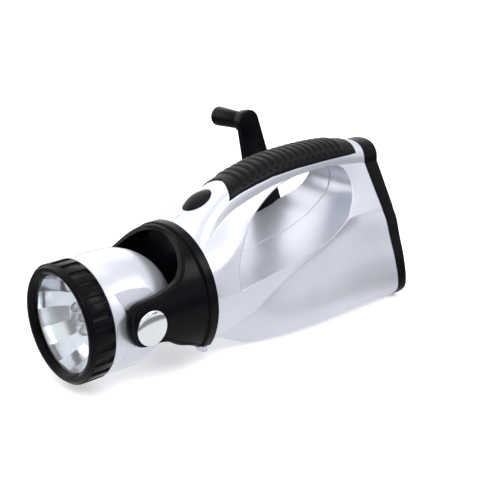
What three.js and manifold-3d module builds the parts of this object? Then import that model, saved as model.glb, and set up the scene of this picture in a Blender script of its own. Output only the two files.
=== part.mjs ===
// Hand crank flashlight with a tilting head, a loop handle and a crank on its far side.
// Sizes in millimetres, angles in degrees. The light's axis is X with the lens towards -X,
// the crank is on +Y, and Z is up. In the sizes X starts at the collar's rear face. The whole
// torch is then moved so that the middle of its flat tail is at zero.
import * as THREE from 'three';
import { mergeVertices } from 'three/addons/utils/BufferGeometryUtils.js';
import Module from 'manifold-3d';

const wasm = await Module();
wasm.setup();

// Shared clearances
const OVERRUN = 5; // how far a cutting tool runs past what it cuts
const SEAT_GAP = 0.15; // between a piece and its seat
const RUN_GAP = 0.1; // between a shaft and the bore it turns in
const FIT_GAP = 0.3; // between a piece and the hole or wall round it
const REACH = 120; // longer than any piece, for tools that cut right through

// Body shells
const BODY_LENGTH = 140;
const BARREL_RADIUS = 36.5;
const WALL = 2.2;
const HANDLE_HALF_WIDTH = 12.4;
const REAR_HALF_WIDTH = 38;
const REAR_TOP = 57.8;
const REAR_DROP = 34.4;

// The rear end's outline, from the top round to the bottom. Widths above the flank follow the
// handle's half width and the others the rear half width. Heights above the light's axis follow
// the rear top and those below it the rear drop.
const rearHandleShares = [[0, 1], [0.49, 0.985], [0.81, 0.94], [0.98, 0.87], [1, 0.79]];
const rearFlankShares = [[0.435, 0.657], [0.553, 0.51]];
const rearRidgeShares = [[0.674, 0.355], [0.682, 0.341], [0.69, 0.327]];
const rearBulgeShares = [
  [0.765, 0.23], [0.84, 0.05], [0.93, -0.24], [0.995, -0.62], [0.955, -0.85], [0.71, -0.985], [0, -1],
];
// The same corners on the front end's circle, as shares of a half turn from the top
const frontTurnShares = [
  0, 0.067, 0.128, 0.185, 0.253, 0.322, 0.397, 0.465, 0.564, 0.679,
  0.714, 0.76, 0.81, 0.86, 0.907, 0.953, 1,
];
// How far each line has gone from the front circle to the rear outline, at these stations
const stationShares = [0, 0.1, 0.2, 0.3, 0.45, 0.6, 0.75, 0.87, 1];
const crestRiseShares = [0, 0.33, 0.64, 0.86, 1.09, 1.17, 1.18, 1.12, 1];
const crestNarrowShares = [0, 0.57, 0.85, 0.92, 0.95, 0.97, 1, 1, 1];
const flankRiseShares = [0, 0.2, 0.5, 0.74, 0.95, 1.08, 1.06, 1.03, 1];
const flankNarrowShares = [0, 0.17, 0.5, 0.84, 0.86, 0.88, 0.95, 0.98, 1];
const ridgeRiseShares = [0, 0.05, 0.13, 0.23, 0.43, 0.63, 1.08, 1.05, 1];
const ridgeNarrowShares = [0, 0, 0.02, 0.05, 0.12, 0.27, 0.7, 0.91, 1];
const wedgeRiseShares = [0, 0.06, 0.17, 0.36, 0.58, 0.76, 1.06, 1.03, 1];
const wedgeNarrowShares = [0, 0, 0.02, 0.06, 0.16, 0.3, 0.7, 0.91, 1];
const creaseRiseShares = [0, 0.1, 0.22, 0.42, 0.65, 0.82, 1.04, 1.02, 1];
const creaseNarrowShares = [0, -0.48, -0.6, -0.6, -0.46, -0.3, 0.43, 0.8, 1];
const bulgeRiseShares = [0, 0.18, 0.37, 0.57, 0.8, 0.95, 1.07, 1.05, 1];
const bulgeWideShares = [0, 0.22, 0.5, 0.75, 0.94, 1.01, 1.02, 1.01, 1];
const SHELL_RINGS = 11;
const ROOM_RINGS = 7;
const SPAN_STEPS = 2;

// Opening under the handle, from its front tip. Shares of its length and height.
const TUNNEL_TIP_X = 15.7;
const TUNNEL_TIP_Z = 4.2;
const TUNNEL_REAR_WALL = 21.3; // from the opening's rear edge to the shells' rear end
const TUNNEL_LENGTH = BODY_LENGTH - TUNNEL_TIP_X - TUNNEL_REAR_WALL;
const TUNNEL_HEIGHT = 45.4;
const tunnelShares = [
  [0, 0], [0.13, 0.044], [0.273, 0.08], [0.43, 0.138], [0.644, 0.217], [0.79, 0.317], [0.877, 0.42],
  [0.964, 0.56], [0.998, 0.71], [0.992, 0.86], [0.955, 0.96], [0.87, 0.998], [0.73, 1], [0.59, 0.984],
  [0.459, 0.918], [0.37, 0.83], [0.285, 0.72], [0.197, 0.595], [0.117, 0.463], [0.058, 0.317],
  [0.02, 0.176],
];
const TUNNEL_STEPS = 30;

// Underside in front: cut flat behind and across the collar, then sloping down to the bulge
const CHIN_DROP = 22.5;
const CHIN_LENGTH = 8;
const chinSlopeShare = 0.48; // how far the slope falls for each length rearwards

// Front feet of the shells
const FOOT_X = 8.3;
const FOOT_Y = 11.6;
const FOOT_LENGTH = 2.6;
const FOOT_WIDTH = 6;
const GROUND_DROP = 34.5;

// Screws that join the two shells, from the far side
const SCREW_RADIUS = 1.4;
const SCREW_HEAD_RADIUS = 2.8;
const SCREW_HEAD = 2;
const SHELL_SCREW_LENGTH = 18;
const SHELL_SCREW_SEAT = 9;
const BOSS_RADIUS = 3.6;
const MIDDLE_SCREW_SETBACK = 93;
const REAR_SCREW_SETBACK = 10.4;
const shellScrewPlaces = {
  front_low: [22, -22],
  front_high: [33, 40.5],
  middle_low: [BODY_LENGTH - MIDDLE_SCREW_SETBACK, -25.5],
  rear_low: [BODY_LENGTH - REAR_SCREW_SETBACK, -27.2],
  rear_high: [BODY_LENGTH - REAR_SCREW_SETBACK, 46],
};

// Rear cover
const COVER_DEPTH = 7;
const COVER_LEAN = 5.2; // how much further forward the seam lies at the top than at the bottom
const COVER_PLATE = 2.6;
const COVER_OVERHANG = 0.3;
const coverDepthShares = [0, 0.45, 0.8, 1];
const COVER_ROUND = 1.4;
const coverInsetShares = [-0.1, 0, 0.35, 1];
const COVER_SCREW_LENGTH = 12;
const COVER_BOSS_LENGTH = 14;
const coverScrewPlaces = {
  near_low: [-32.4, -19],
  far_low: [32.4, -19],
  near_high: [-17.2, 27],
  far_high: [17.2, 27],
};

// Grip pad on the handle
const PAD_DEPTH = 1;
const PAD_PROUD = 0.7;
const PAD_FRONT = 29.5;
const PAD_SETBACK = 11.5; // from the pad's rear end to the shells' rear end
const PAD_REAR = BODY_LENGTH - PAD_SETBACK;
const PAD_EDGE_FRONT_Z = 44.8;
const PAD_EDGE_REAR_Z = 53.4;
const padEdgeShares = [
  [0, 0], [0.08, 0.3], [0.2, 0.6], [0.32, 0.84], [0.5, 0.98], [0.75, 1.02], [0.96, 1], [1, 4.87],
];
const PAD_RIB_COUNT = 17;
const PAD_RIB_PITCH = 4.7;
const PAD_RIB_WIDTH = 2.7;
const PAD_RIB_HEIGHT = 0.8;
const PAD_RIB_FRONT = 40;
const PAD_RIB_HALF_SPAN = 10.6;

// Yoke: the collar with its two arms
const FLANGE_RADIUS = 37.5;
const FLANGE_WIDTH = 5.8;
const PIVOT_X = -39.8;
const YOKE_BACK_RADIUS = 36.2;
const YOKE_PIVOT_RADIUS = 34.8;
const YOKE_WALL = 2.2;
const YOKE_FRONT_X = -52.8;
const BULKHEAD = 2.4;
const CABLE_HOLE_RADIUS = 4;
const SPIGOT_LENGTH = 4;
const SPIGOT_RADIUS = 34;
const SPIGOT_WALL = 2;
// Upper and lower edge of the arm and collar seen from the side, as shares of the reach from
// the collar's rear face to the arm's tip, and of the collar's radius
const yokeUpperShares = [
  [0.185, 1], [0.2, 0.93], [0.235, 0.86], [0.285, 0.73], [0.335, 0.61], [0.405, 0.515], [0.495, 0.458],
  [0.62, 0.405], [0.745, 0.382], [0.86, 0.365], [0.945, 0.31], [0.992, 0.18],
];
const yokeLowerShares = [
  [1, 0.04], [0.985, -0.07], [0.94, -0.17], [0.875, -0.235], [0.8, -0.255], [0.67, -0.258], [0.57, -0.29],
  [0.5, -0.355], [0.41, -0.43], [0.29, -0.495], [0.2, -0.56], [0.15, -0.618],
];
const PIVOT_BOSS_RADIUS = 8.6;
const PIVOT_BOSS_INNER = 26;
const PIVOT_SEAT = 33.3;
const CAP_RADIUS = 9;
const CAP_RIM = 1.1;
const CAP_RISE = 2.1;
const CAP_ROUND_STEPS = 4;
const PIN_RADIUS = 3;
const PIN_HEAD_RADIUS = 5;
const PIN_HEAD = 1.8;
const PIN_INNER = 20.7;
const WASHER_RADIUS = 8.2;

// Head
const DOME_RADIUS = 31;
const NECK_RADIUS = 29.5;
const HEAD_WALL = 2.2;
const NECK_X = -57.6;
const SLEEVE_RADIUS = 28;
const SLEEVE_FRONT = -64;
const FLAT_Y = 25;
const CONE_X = -48.8;
const coneRiseShare = 0.85; // how far the front wall of the side flats widens for each length forward
const DOME_STEPS = 4;
const BEZEL_REAR = -57.9;
const BEZEL_FRONT = -71.3;
const BEZEL_RADIUS = 30.7;
const BEZEL_LIP_RADIUS = 29.7;
const BEZEL_LIP_ROUND = 1.2;
const LENS_OPENING = 24.9;
const LENS_SEAT_X = -69.1;
const LENS_RADIUS = 27.9;
const LENS_THICKNESS = 2;
const LENS_CROWN = 0.5;
const lensCrownShares = [[0, 1], [0.5, 0.75], [1, 0]];
const SEAL_THICKNESS = 1.4;
const SEAL_WIDTH = 2;
const REFLECTOR_RIM = 27.6;
const REFLECTOR_MOUTH = 25.4;
const REFLECTOR_BASE = 11;
const REFLECTOR_BASE_X = -50.2;
const REFLECTOR_WALL = 1.1;
const REFLECTOR_FACETS = 16;
const reflectorCurveShares = [[0, 1], [0.2, 0.93], [0.42, 0.82], [0.65, 0.66], [0.84, 0.42], [1, 0]];
const BEZEL_POCKETS = 24;
const BEZEL_SIDES = 2 * BEZEL_POCKETS;
const POCKET_WIDTH = 4.1;
const POCKET_DEPTH = 0.9;
const POCKET_FRONT = -69.2;
const POCKET_REAR = -59.1;
const BOARD_RADIUS = 13.6;
const BOARD_THICKNESS = 1.6;
const LED_RADIUS = 2.5;
const LED_FLANGE_RADIUS = 2.9;
const LED_FLANGE = 1;
const LED_LENGTH = 8.6;
const LED_RING = 7;
const LED_RING_COUNT = 6;
const LED_ROUND_STEPS = 3;

// Switch in front of the grip pad
const SWITCH_X = 17.5;
const SWITCH_HALF_LENGTH = 9;
const SWITCH_HALF_WIDTH = 6.4;
const SWITCH_PROUD = 1.9;
const SWITCH_ROUND_STEPS = 3;
const SWITCH_FLANGE = 1.2;
const SWITCH_FLANGE_LIP = 1.4;
const SWITCH_TRAVEL = 1.2;
const SWITCH_STEM_RADIUS = 2;
const SWITCH_STEM = 3.4;
const SWITCH_BODY_SIDE = 8;
const SWITCH_BODY_HEIGHT = 5;
const SWITCH_BOARD_THICKNESS = 1.6;
const SWITCH_BOARD_LENGTH = 18;
const SWITCH_BOARD_WIDTH = 20;
const SHELF_THICKNESS = 2;
const SHELF_LENGTH = 22;

// Crank and its gear train, on axes along Y
const CRANK_SETBACK = 31; // from the crank's axis to the shells' rear end
const CRANK_X = BODY_LENGTH - CRANK_SETBACK;
const CRANK_Z = 2;
const CRANK_RADIUS = 69.5;
const CRANK_LEAN = 14.3; // from straight up, towards the head
const TOOTH_SIZE = 0.85; // pitch diameter for each tooth
const toothCounts = { crank: 36, idler1Pinion: 9, idler1: 32, idler2Pinion: 8, idler2: 24, rotor: 8 };
// The train runs from the crank's axis in this direction, and turns at each axis by so much
const idler1Direction = 206.5;
const idler2Turn = 4.5;
const rotorTurn = -41;
const halfTurn = 180;
const toothThicknessShare = 0.44; // of the pitch, on the pitch circle
const addendumShare = 0.95; // of the tooth size
const dedendumShare = 1.3;
const toothTipShare = 0.55; // of the tooth's thickness
const PLATE = 1.5;
const BASE_PLATE_Y = 8;
const GEAR_LAYER_1 = 11;
const GEAR_LAYER_2 = 15.4;
const GEAR_LAYER_3 = 20;
const GEAR_FACE_1 = 3;
const GEAR_FACE_2 = 3.4;
const GEAR_FACE_3 = 4;
const COVER_PLATE_Y = 25.6;
const POST_RADIUS = 3;
const PLATE_MARGIN = 5;
const CRANK_PLATE_MARGIN = 8;
const crankPostOffsets = [[12, -20], [21.5, -5.5]]; // from the crank's axis
const rotorPostOffsets = [[-9.9, -7.1], [8.1, 13.9]]; // from the rotor's axis
const AXLE_RADIUS = 1.2;
const IDLER_HUB_RADIUS = 2.2;
const SHAFT_RADIUS = 3;
const BUSH_RADIUS = 5;
const BEARING_BOSS_RADIUS = 8.5;
const BEARING_BOSS_Y = 38;
const BEARING_INNER_Y = 28.4;
const SHAFT_INNER_Y = 7.8;
const SHAFT_OUTER_Y = 41.6;
const GEAR_HUB_RADIUS = 4.3;
const ARM_INNER_Y = 40;
const ARM_THICKNESS = 4;
const ARM_HUB_RADIUS = 13;
const ARM_TIP_RADIUS = 7.4;
const ARM_BEVEL = 0.8;
const ARM_HUB_STEP = 1.6;
const ARM_HUB_STEP_RADIUS = 8;
const ARM_WEB = 0.9;
const ARM_SCREW_POCKET_RADIUS = 4.3;
const ARM_TIP_BOSS = 3.2;
const KNOB_LENGTH = 22;
const KNOB_ROOT_RADIUS = 5;
const KNOB_END_RADIUS = 5.9;
const KNOB_ROUND = 1;
const KNOB_PIN_RADIUS = 2;
const KNOB_PIN_HEAD_RADIUS = 3.4;
const KNOB_PIN_HEAD = 1.5;
const KNOB_POCKET = 2;
const ARM_SCREW_LENGTH = 8;
const ARM_SCREW_HEAD = 1.5;
const ARM_SCREW_HEAD_RADIUS = 3.9;

// Generator on the gear train's base plate
const CAN_RADIUS = 12;
const CAN_WALL = 0.8;
const CAN_DEPTH = 15;
const MAGNET_RADIUS = 6;
const MAGNET_LENGTH = 9;
const COIL_INNER = 7;
const COIL_OUTER = 10.8;
const COIL_LENGTH = 10;
const ROTOR_SHAFT_RADIUS = 1;

// Battery pack, on the near side below the opening
const CELL_RADIUS = 7.1;
const CELL_LENGTH = 49;
const CELL_TIP_RADIUS = 2.7;
const CELL_TIP = 1.2;
const CELL_SETBACK = 63.4; // from the cells' front ends to the shells' rear end
const CELL_FRONT = BODY_LENGTH - CELL_SETBACK;
const CELL_LOW_Z = -22.1;
const CELL_NEAR_Y = -27.2;
const CELL_GAP = 0.3;
const CRADLE_LENGTH = 40;
const CRADLE_EDGE = 2;
const CRADLE_FLOOR = 1.6;
const cradleSideShare = 0.45; // of a cell's radius, that its cradle reaches up and out

// Charging board and its socket
const CHARGE_BOARD_THICKNESS = 1.6;
const CHARGE_BOARD_WIDTH = 34;
const CHARGE_BOARD_HEIGHT = 20;
const CHARGE_BOARD_Z = -20;
const CHARGE_BOARD_SETBACK = 6; // from its front face to the shells' rear end
const CHARGE_BOARD_X = BODY_LENGTH - CHARGE_BOARD_SETBACK;
const BOARD_POST_RADIUS = 2;
const BOARD_POST_Y = 14;
const SOCKET_WIDTH = 9;
const SOCKET_HEIGHT = 10;
const SOCKET_RECESS = 0.4;
const SOCKET_BORE_RADIUS = 2.9;
const SOCKET_BORE_DEPTH = 9;
const SOCKET_PIN_RADIUS = 1;

// Facets
const ROUND_FINE = 32;
const ROUND_MEDIUM = 16;
const ROUND_SMALL = 8;
const ROUND_HIDDEN = 6;

// Finishes, as three.js materials
const finish = (color, roughness, metalness) => (
  new THREE.MeshStandardMaterial({ color, roughness, metalness }));
const silverPaint = finish('#c9ccd4', 0.32, 0.55);
const blackPlastic = finish('#15171b', 0.42, 0);
const blackRubber = finish('#1b1c20', 0.8, 0);
const chrome = finish('#e6e8ec', 0.08, 1);
const mirrorCoat = finish('#dfe3ea', 0.06, 1);
const steel = finish('#a9abb0', 0.3, 1);
const brass = finish('#b6924a', 0.35, 1);
const whiteNylon = finish('#e6e3da', 0.5, 0);
const greenBoard = finish('#1f5a3a', 0.5, 0);
const copper = finish('#a9552c', 0.4, 1);
const cellSleeve = finish('#2b5f9e', 0.45, 0);
const clearPlastic = new THREE.MeshStandardMaterial({
  color: '#eef3f7', roughness: 0.05, metalness: 0, transparent: true, opacity: 0.35,
});

const radians = THREE.MathUtils.degToRad;
const lerp = THREE.MathUtils.lerp;

// Solids

function signedVolume(positions, index) {
  let volume = 0;
  for (let k = 0; k < index.length; k += 3) {
    const [a, b, c] = [0, 1, 2].map((n) => new THREE.Vector3().fromArray(positions, 3 * index[k + n]));
    volume += a.dot(b.cross(c));
  }
  return volume;
}

// A closed solid from a closed geometry, with its faces turned outwards
function solid(geometry) {
  const bare = geometry.clone();
  bare.deleteAttribute('normal');
  bare.deleteAttribute('uv');
  const merged = mergeVertices(bare);
  const index = [];
  for (let k = 0; k < merged.index.count; k += 3) {
    const [a, b, c] = [0, 1, 2].map((n) => merged.index.getX(k + n));
    if (a !== b && b !== c && a !== c) index.push(a, b, c);
  }
  if (signedVolume(merged.attributes.position.array, index) < 0) index.reverse();
  return new wasm.Manifold(new wasm.Mesh({
    numProp: 3,
    vertProperties: new Float32Array(merged.attributes.position.array),
    triVerts: new Uint32Array(index),
  }));
}

function geometryOf(shape) {
  const mesh = shape.getMesh();
  const geometry = new THREE.BufferGeometry();
  geometry.setAttribute('position', new THREE.BufferAttribute(new Float32Array(mesh.vertProperties), 3));
  geometry.setIndex(Array.from(mesh.triVerts));
  geometry.computeVertexNormals();
  return geometry;
}

function box(x0, x1, y0, y1, z0, z1) {
  const geometry = new THREE.BoxGeometry(x1 - x0, y1 - y0, z1 - z0);
  return solid(geometry.translate((x0 + x1) / 2, (y0 + y1) / 2, (z0 + z1) / 2));
}

function cylinderY(radius, y0, y1, x = 0, z = 0, sides = ROUND_MEDIUM) {
  const geometry = new THREE.CylinderGeometry(radius, radius, y1 - y0, sides);
  return solid(geometry.translate(x, (y0 + y1) / 2, z));
}

function cylinderX(radius, x0, x1, y = 0, z = 0, sides = ROUND_MEDIUM) {
  const geometry = new THREE.CylinderGeometry(radius, radius, x1 - x0, sides);
  return solid(geometry.rotateZ(-Math.PI / 2).translate((x0 + x1) / 2, y, z));
}

// Revolves [along, radius] points, along Y
function revolveY(points, sides = ROUND_MEDIUM) {
  return new THREE.LatheGeometry(points.map(([along, radius]) => new THREE.Vector2(radius, along)), sides);
}

// Revolves [x, radius] points round the light's axis
function revolveX(points, sides = ROUND_MEDIUM) {
  return revolveY(points, sides).rotateZ(-Math.PI / 2);
}

function ringPoints(points) {
  return [...points, points[0]];
}

// Extrudes an outline of [x, z] points along Y, from y0 to y1
function extrudeY(outline, y0, y1) {
  const shape = new THREE.Shape(outline.map(([x, z]) => new THREE.Vector2(x, z)));
  const geometry = new THREE.ExtrudeGeometry(shape, { depth: y1 - y0, bevelEnabled: false });
  return solid(geometry.rotateX(Math.PI / 2).translate(0, y1, 0));
}

// Moves each point of a closed outline outwards by a distance
function offsetOutline(points, distance) {
  const area = points.reduce((sum, [x, z], k) => {
    const [nextX, nextZ] = points[(k + 1) % points.length];
    return sum + x * nextZ - nextX * z;
  }, 0);
  const side = Math.sign(area) * distance;
  return points.map(([x, z], k) => {
    const before = points[(k + points.length - 1) % points.length];
    const after = points[(k + 1) % points.length];
    const into = new THREE.Vector2(x - before[0], z - before[1]).normalize();
    const out = new THREE.Vector2(after[0] - x, after[1] - z).normalize();
    const along = into.clone().add(out).normalize();
    const spread = Math.max(along.dot(out), 1 / 2);
    return [x + (along.y * side) / spread, z - (along.x * side) / spread];
  });
}

// Triangles of a ring's flat end, wound the way the ring runs
function flatEnd(ring) {
  const outline = ring.map(([, y, z]) => new THREE.Vector2(y, z));
  const triangles = THREE.ShapeUtils.triangulateShape(outline, []);
  const covered = triangles.reduce((sum, [a, b, c]) => (
    sum + THREE.ShapeUtils.area([outline[a], outline[b], outline[c]])), 0);
  const reversed = Math.sign(covered) !== Math.sign(THREE.ShapeUtils.area(outline));
  return triangles.map(([a, b, c]) => (reversed ? [a, c, b] : [a, b, c]));
}

// Joins rings of equal count into a closed solid with flat ends
function loft(rings) {
  const count = rings[0].length;
  const positions = rings.flat(2);
  const index = [];
  for (let r = 0; r + 1 < rings.length; r += 1) {
    for (let k = 0; k < count; k += 1) {
      const a = r * count + k;
      const b = r * count + ((k + 1) % count);
      index.push(a, b, a + count, b, b + count, a + count);
    }
  }
  const lastStart = (rings.length - 1) * count;
  for (const [a, b, c] of flatEnd(rings[0])) index.push(a, c, b);
  for (const [a, b, c] of flatEnd(rings.at(-1))) index.push(lastStart + a, lastStart + b, lastStart + c);
  const geometry = new THREE.BufferGeometry();
  geometry.setAttribute('position', new THREE.Float32BufferAttribute(positions, 3));
  geometry.setIndex(index);
  return solid(geometry);
}

// Body sections

// A row of shares, read between the stations as a smooth curve
function alongBody(row, share) {
  const last = stationShares.length - 2;
  const found = stationShares.findIndex((station, k) => k > 0 && share <= station) - 1;
  const k = Math.min(Math.max(found, 0), last);
  const slope = (n) => {
    const low = Math.max(n - 1, 0);
    const high = Math.min(n + 1, row.length - 1);
    return (row[high] - row[low]) / (stationShares[high] - stationShares[low]);
  };
  const span = stationShares[k + 1] - stationShares[k];
  const t = (share - stationShares[k]) / span;
  const rise = row[k] * (1 + 2 * t) * (1 - t) ** 2 + row[k + 1] * t * t * (3 - 2 * t);
  return rise + span * (slope(k) * t * (1 - t) ** 2 - slope(k + 1) * t * t * (1 - t));
}

const bodyLines = [
  { corners: rearHandleShares, width: HANDLE_HALF_WIDTH, rise: crestRiseShares, narrow: crestNarrowShares },
  { corners: rearFlankShares, width: REAR_HALF_WIDTH, rise: flankRiseShares, narrow: flankNarrowShares },
  {
    corners: rearRidgeShares.slice(0, 1), width: REAR_HALF_WIDTH,
    rise: ridgeRiseShares, narrow: ridgeNarrowShares,
  },
  {
    corners: rearRidgeShares.slice(1, 2), width: REAR_HALF_WIDTH,
    rise: wedgeRiseShares, narrow: wedgeNarrowShares,
  },
  {
    corners: rearRidgeShares.slice(2), width: REAR_HALF_WIDTH,
    rise: creaseRiseShares, narrow: creaseNarrowShares,
  },
  { corners: rearBulgeShares, width: REAR_HALF_WIDTH, rise: bulgeRiseShares, narrow: bulgeWideShares },
];
const RIDGE_CORNER = rearHandleShares.length + rearFlankShares.length;
const CREASE_CORNER = RIDGE_CORNER + 2;

// The corners of half a cross-section, as [y, z] from the top round to the bottom
function halfSection(share) {
  const corners = bodyLines.flatMap((line) => line.corners.map((corner) => ({ ...line, corner })));
  return corners.map(({ corner, width, rise, narrow }, k) => {
    const turn = Math.PI * frontTurnShares[k];
    const rearY = corner[0] * width;
    const rearZ = corner[1] * (corner[1] > 0 ? REAR_TOP : REAR_DROP);
    return [
      lerp(BARREL_RADIUS * Math.sin(turn), rearY, alongBody(narrow, share)),
      lerp(BARREL_RADIUS * Math.cos(turn), rearZ, alongBody(rise, share)),
    ];
  });
}

function smooth(points, steps) {
  const curve = new THREE.SplineCurve(points.map(([y, z]) => new THREE.Vector2(y, z)));
  return curve.getPoints(steps * (points.length - 1)).map((point) => [point.x, point.y]);
}

// A whole cross-section: crown, flank and bulge are smooth, ridge and crease stay sharp
function bodySection(share, steps) {
  const half = halfSection(share);
  const mirror = (points) => points.map(([y, z]) => [-y, z]).reverse();
  const shoulder = rearHandleShares.length - 1;
  const crown = half.slice(0, shoulder + 1);
  const flank = smooth(half.slice(shoulder, RIDGE_CORNER + 1), steps);
  const wedge = half.slice(RIDGE_CORNER, CREASE_CORNER + 1);
  const bulge = half.slice(CREASE_CORNER);
  const top = smooth([...mirror(crown), ...crown.slice(1)], steps);
  const bottom = smooth([...bulge, ...mirror(bulge).slice(1)], steps);
  const parts = [top, flank, wedge, bottom, mirror(wedge), mirror(flank)];
  return parts.flatMap((part) => part.slice(0, -1));
}

// The body's form, grown by a distance, between two places along it
function bodyForm(grow, fromShare, toShare, rings, steps) {
  const list = [];
  for (let k = 0; k < rings; k += 1) {
    const share = lerp(fromShare, toShare, k / (rings - 1));
    const outline = offsetOutline(bodySection(Math.min(Math.max(share, 0), 1), steps), grow);
    list.push(outline.map(([y, z]) => [share * BODY_LENGTH, y, z]));
  }
  return loft(list);
}

function tunnelOutline(grow) {
  const points = tunnelShares.map(([along, up]) => [
    TUNNEL_TIP_X + along * TUNNEL_LENGTH, TUNNEL_TIP_Z + up * TUNNEL_HEIGHT,
  ]);
  const curve = new THREE.SplineCurve([...points, points[0]].map(([x, z]) => new THREE.Vector2(x, z)));
  const smoothPoints = curve.getPoints(TUNNEL_STEPS).slice(0, -1).map((point) => [point.x, point.y]);
  return offsetOutline(smoothPoints, grow);
}

function tunnelForm(grow) {
  return extrudeY(tunnelOutline(grow), -REACH, REACH);
}

// What the flat and sloping underside in front cuts away, grown by a distance
function chinForm(grow) {
  const slopeEnd = CHIN_LENGTH + (REACH - CHIN_DROP) / chinSlopeShare;
  const outline = [
    [-REACH, -REACH], [slopeEnd, -REACH], [CHIN_LENGTH, -CHIN_DROP], [-REACH, -CHIN_DROP],
  ];
  return extrudeY(offsetOutline(outline, grow), -REACH, REACH);
}

// Height of the body's crest at a place along it
function crestZ(x) {
  return halfSection(x / BODY_LENGTH)[0][1];
}

const tail = BODY_LENGTH + COVER_DEPTH;

// What lies behind the leaning seam between the shells and the rear cover, moved back by a gap
function behindSeam(gap) {
  const lean = COVER_LEAN / (REAR_TOP + REAR_DROP);
  const seamX = (z) => BODY_LENGTH + gap - lean * (z + REAR_DROP);
  return extrudeY([
    [seamX(-REACH), -REACH], [2 * REACH, -REACH], [2 * REACH, REACH], [seamX(REACH), REACH],
  ], -REACH, REACH);
}

const torch = new THREE.Group();
torch.position.x = -tail;

function addMesh(name, geometry, material, parent = torch) {
  const mesh = new THREE.Mesh(geometry, material);
  mesh.name = name;
  parent.add(mesh);
  return mesh;
}

function addSolid(name, shape, material, parent = torch) {
  return addMesh(name, geometryOf(shape), material, parent);
}

// Grip pad

// Side view of the pad, grown by a gap, as an outline above its lower edge
function padOutline(gap) {
  const edge = padEdgeShares.map(([along, up]) => [
    lerp(PAD_FRONT, PAD_REAR, along), lerp(PAD_EDGE_FRONT_Z, PAD_EDGE_REAR_Z, up),
  ]);
  return offsetOutline([...edge, [PAD_REAR, REACH], [PAD_FRONT, REACH]], gap);
}

const padEnds = OVERRUN / BODY_LENGTH;
const padFrom = PAD_FRONT / BODY_LENGTH - padEnds;
const padTo = PAD_REAR / BODY_LENGTH + padEnds;

// The part of a form that lies over the pad's seat and inside its outline
function padSkin(form, depth, gap) {
  const seat = bodyForm(-depth, padFrom - padEnds, padTo + padEnds, ROOM_RINGS, 1);
  return form.intersect(extrudeY(padOutline(gap), -REACH, REACH)).subtract(seat);
}

function addGripPad() {
  const ribTops = bodyForm(PAD_PROUD + PAD_RIB_HEIGHT, padFrom, padTo, ROOM_RINGS, 1);
  let form = bodyForm(PAD_PROUD, padFrom, padTo, ROOM_RINGS, 1);
  for (let k = 0; k < PAD_RIB_COUNT; k += 1) {
    const x = PAD_RIB_FRONT + k * PAD_RIB_PITCH;
    form = form.add(ribTops.intersect(
      box(x, x + PAD_RIB_WIDTH, -PAD_RIB_HALF_SPAN, PAD_RIB_HALF_SPAN, BARREL_RADIUS, REACH),
    ));
  }
  addSolid('grip_pad', padSkin(form, PAD_DEPTH, 0), blackRubber);
}

// Switch

const switchSlope = Math.atan2(
  crestZ(SWITCH_X + SWITCH_HALF_WIDTH) - crestZ(SWITCH_X - SWITCH_HALF_WIDTH), 2 * SWITCH_HALF_WIDTH,
);

// Puts a geometry made round Z, with its top at zero, onto the sloping crest at the switch
function atSwitch(geometry) {
  return geometry.rotateY(-switchSlope).translate(SWITCH_X, 0, crestZ(SWITCH_X));
}

function ovalDrum(halfLength, halfWidth, low, high) {
  const geometry = new THREE.CylinderGeometry(1, 1, high - low, ROUND_MEDIUM);
  geometry.rotateX(Math.PI / 2).scale(halfLength, halfWidth, 1).translate(0, 0, (low + high) / 2);
  return solid(atSwitch(geometry));
}

function switchBox(length, width, low, high) {
  const geometry = new THREE.BoxGeometry(length, width, high - low);
  return solid(atSwitch(geometry.translate(0, 0, (low + high) / 2)));
}

const flangeTop = -WALL - FIT_GAP;
const stemLow = flangeTop - SWITCH_FLANGE - SWITCH_STEM;
const switchBodyTop = stemLow - SWITCH_TRAVEL - SEAT_GAP;
const switchBoardTop = switchBodyTop - SWITCH_BODY_HEIGHT - SEAT_GAP;
const shelfTop = switchBoardTop - SWITCH_BOARD_THICKNESS - SEAT_GAP;

function addSwitch() {
  const domePoints = Array.from({ length: SWITCH_ROUND_STEPS + 1 }, (_, k) => {
    const turn = (Math.PI / 2) * (k / SWITCH_ROUND_STEPS);
    return [Math.sin(turn), Math.cos(turn)];
  });
  const dome = revolveY([[0, 0], ...domePoints]).rotateX(Math.PI / 2);
  dome.scale(SWITCH_HALF_LENGTH, SWITCH_HALF_WIDTH, SWITCH_PROUD + PAD_DEPTH).translate(0, 0, -PAD_DEPTH);
  const skirtLow = flangeTop - SWITCH_FLANGE;
  const skirt = ovalDrum(SWITCH_HALF_LENGTH, SWITCH_HALF_WIDTH, skirtLow, -PAD_DEPTH);
  const lip = SWITCH_FLANGE_LIP;
  const flange = ovalDrum(SWITCH_HALF_LENGTH + lip, SWITCH_HALF_WIDTH + lip, skirtLow, flangeTop);
  const stem = ovalDrum(SWITCH_STEM_RADIUS, SWITCH_STEM_RADIUS, stemLow, flangeTop);
  addSolid('switch_button', solid(atSwitch(dome)).add(skirt).add(flange).add(stem), blackRubber);
  const side = SWITCH_BODY_SIDE;
  const body = switchBox(side, side, switchBodyTop - SWITCH_BODY_HEIGHT, switchBodyTop);
  addSolid('switch_body', body, blackPlastic);
  const boardLow = switchBoardTop - SWITCH_BOARD_THICKNESS;
  const board = switchBox(SWITCH_BOARD_LENGTH, SWITCH_BOARD_WIDTH, boardLow, switchBoardTop);
  addSolid('switch_board', board, greenBoard);
}

// Shells

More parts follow.
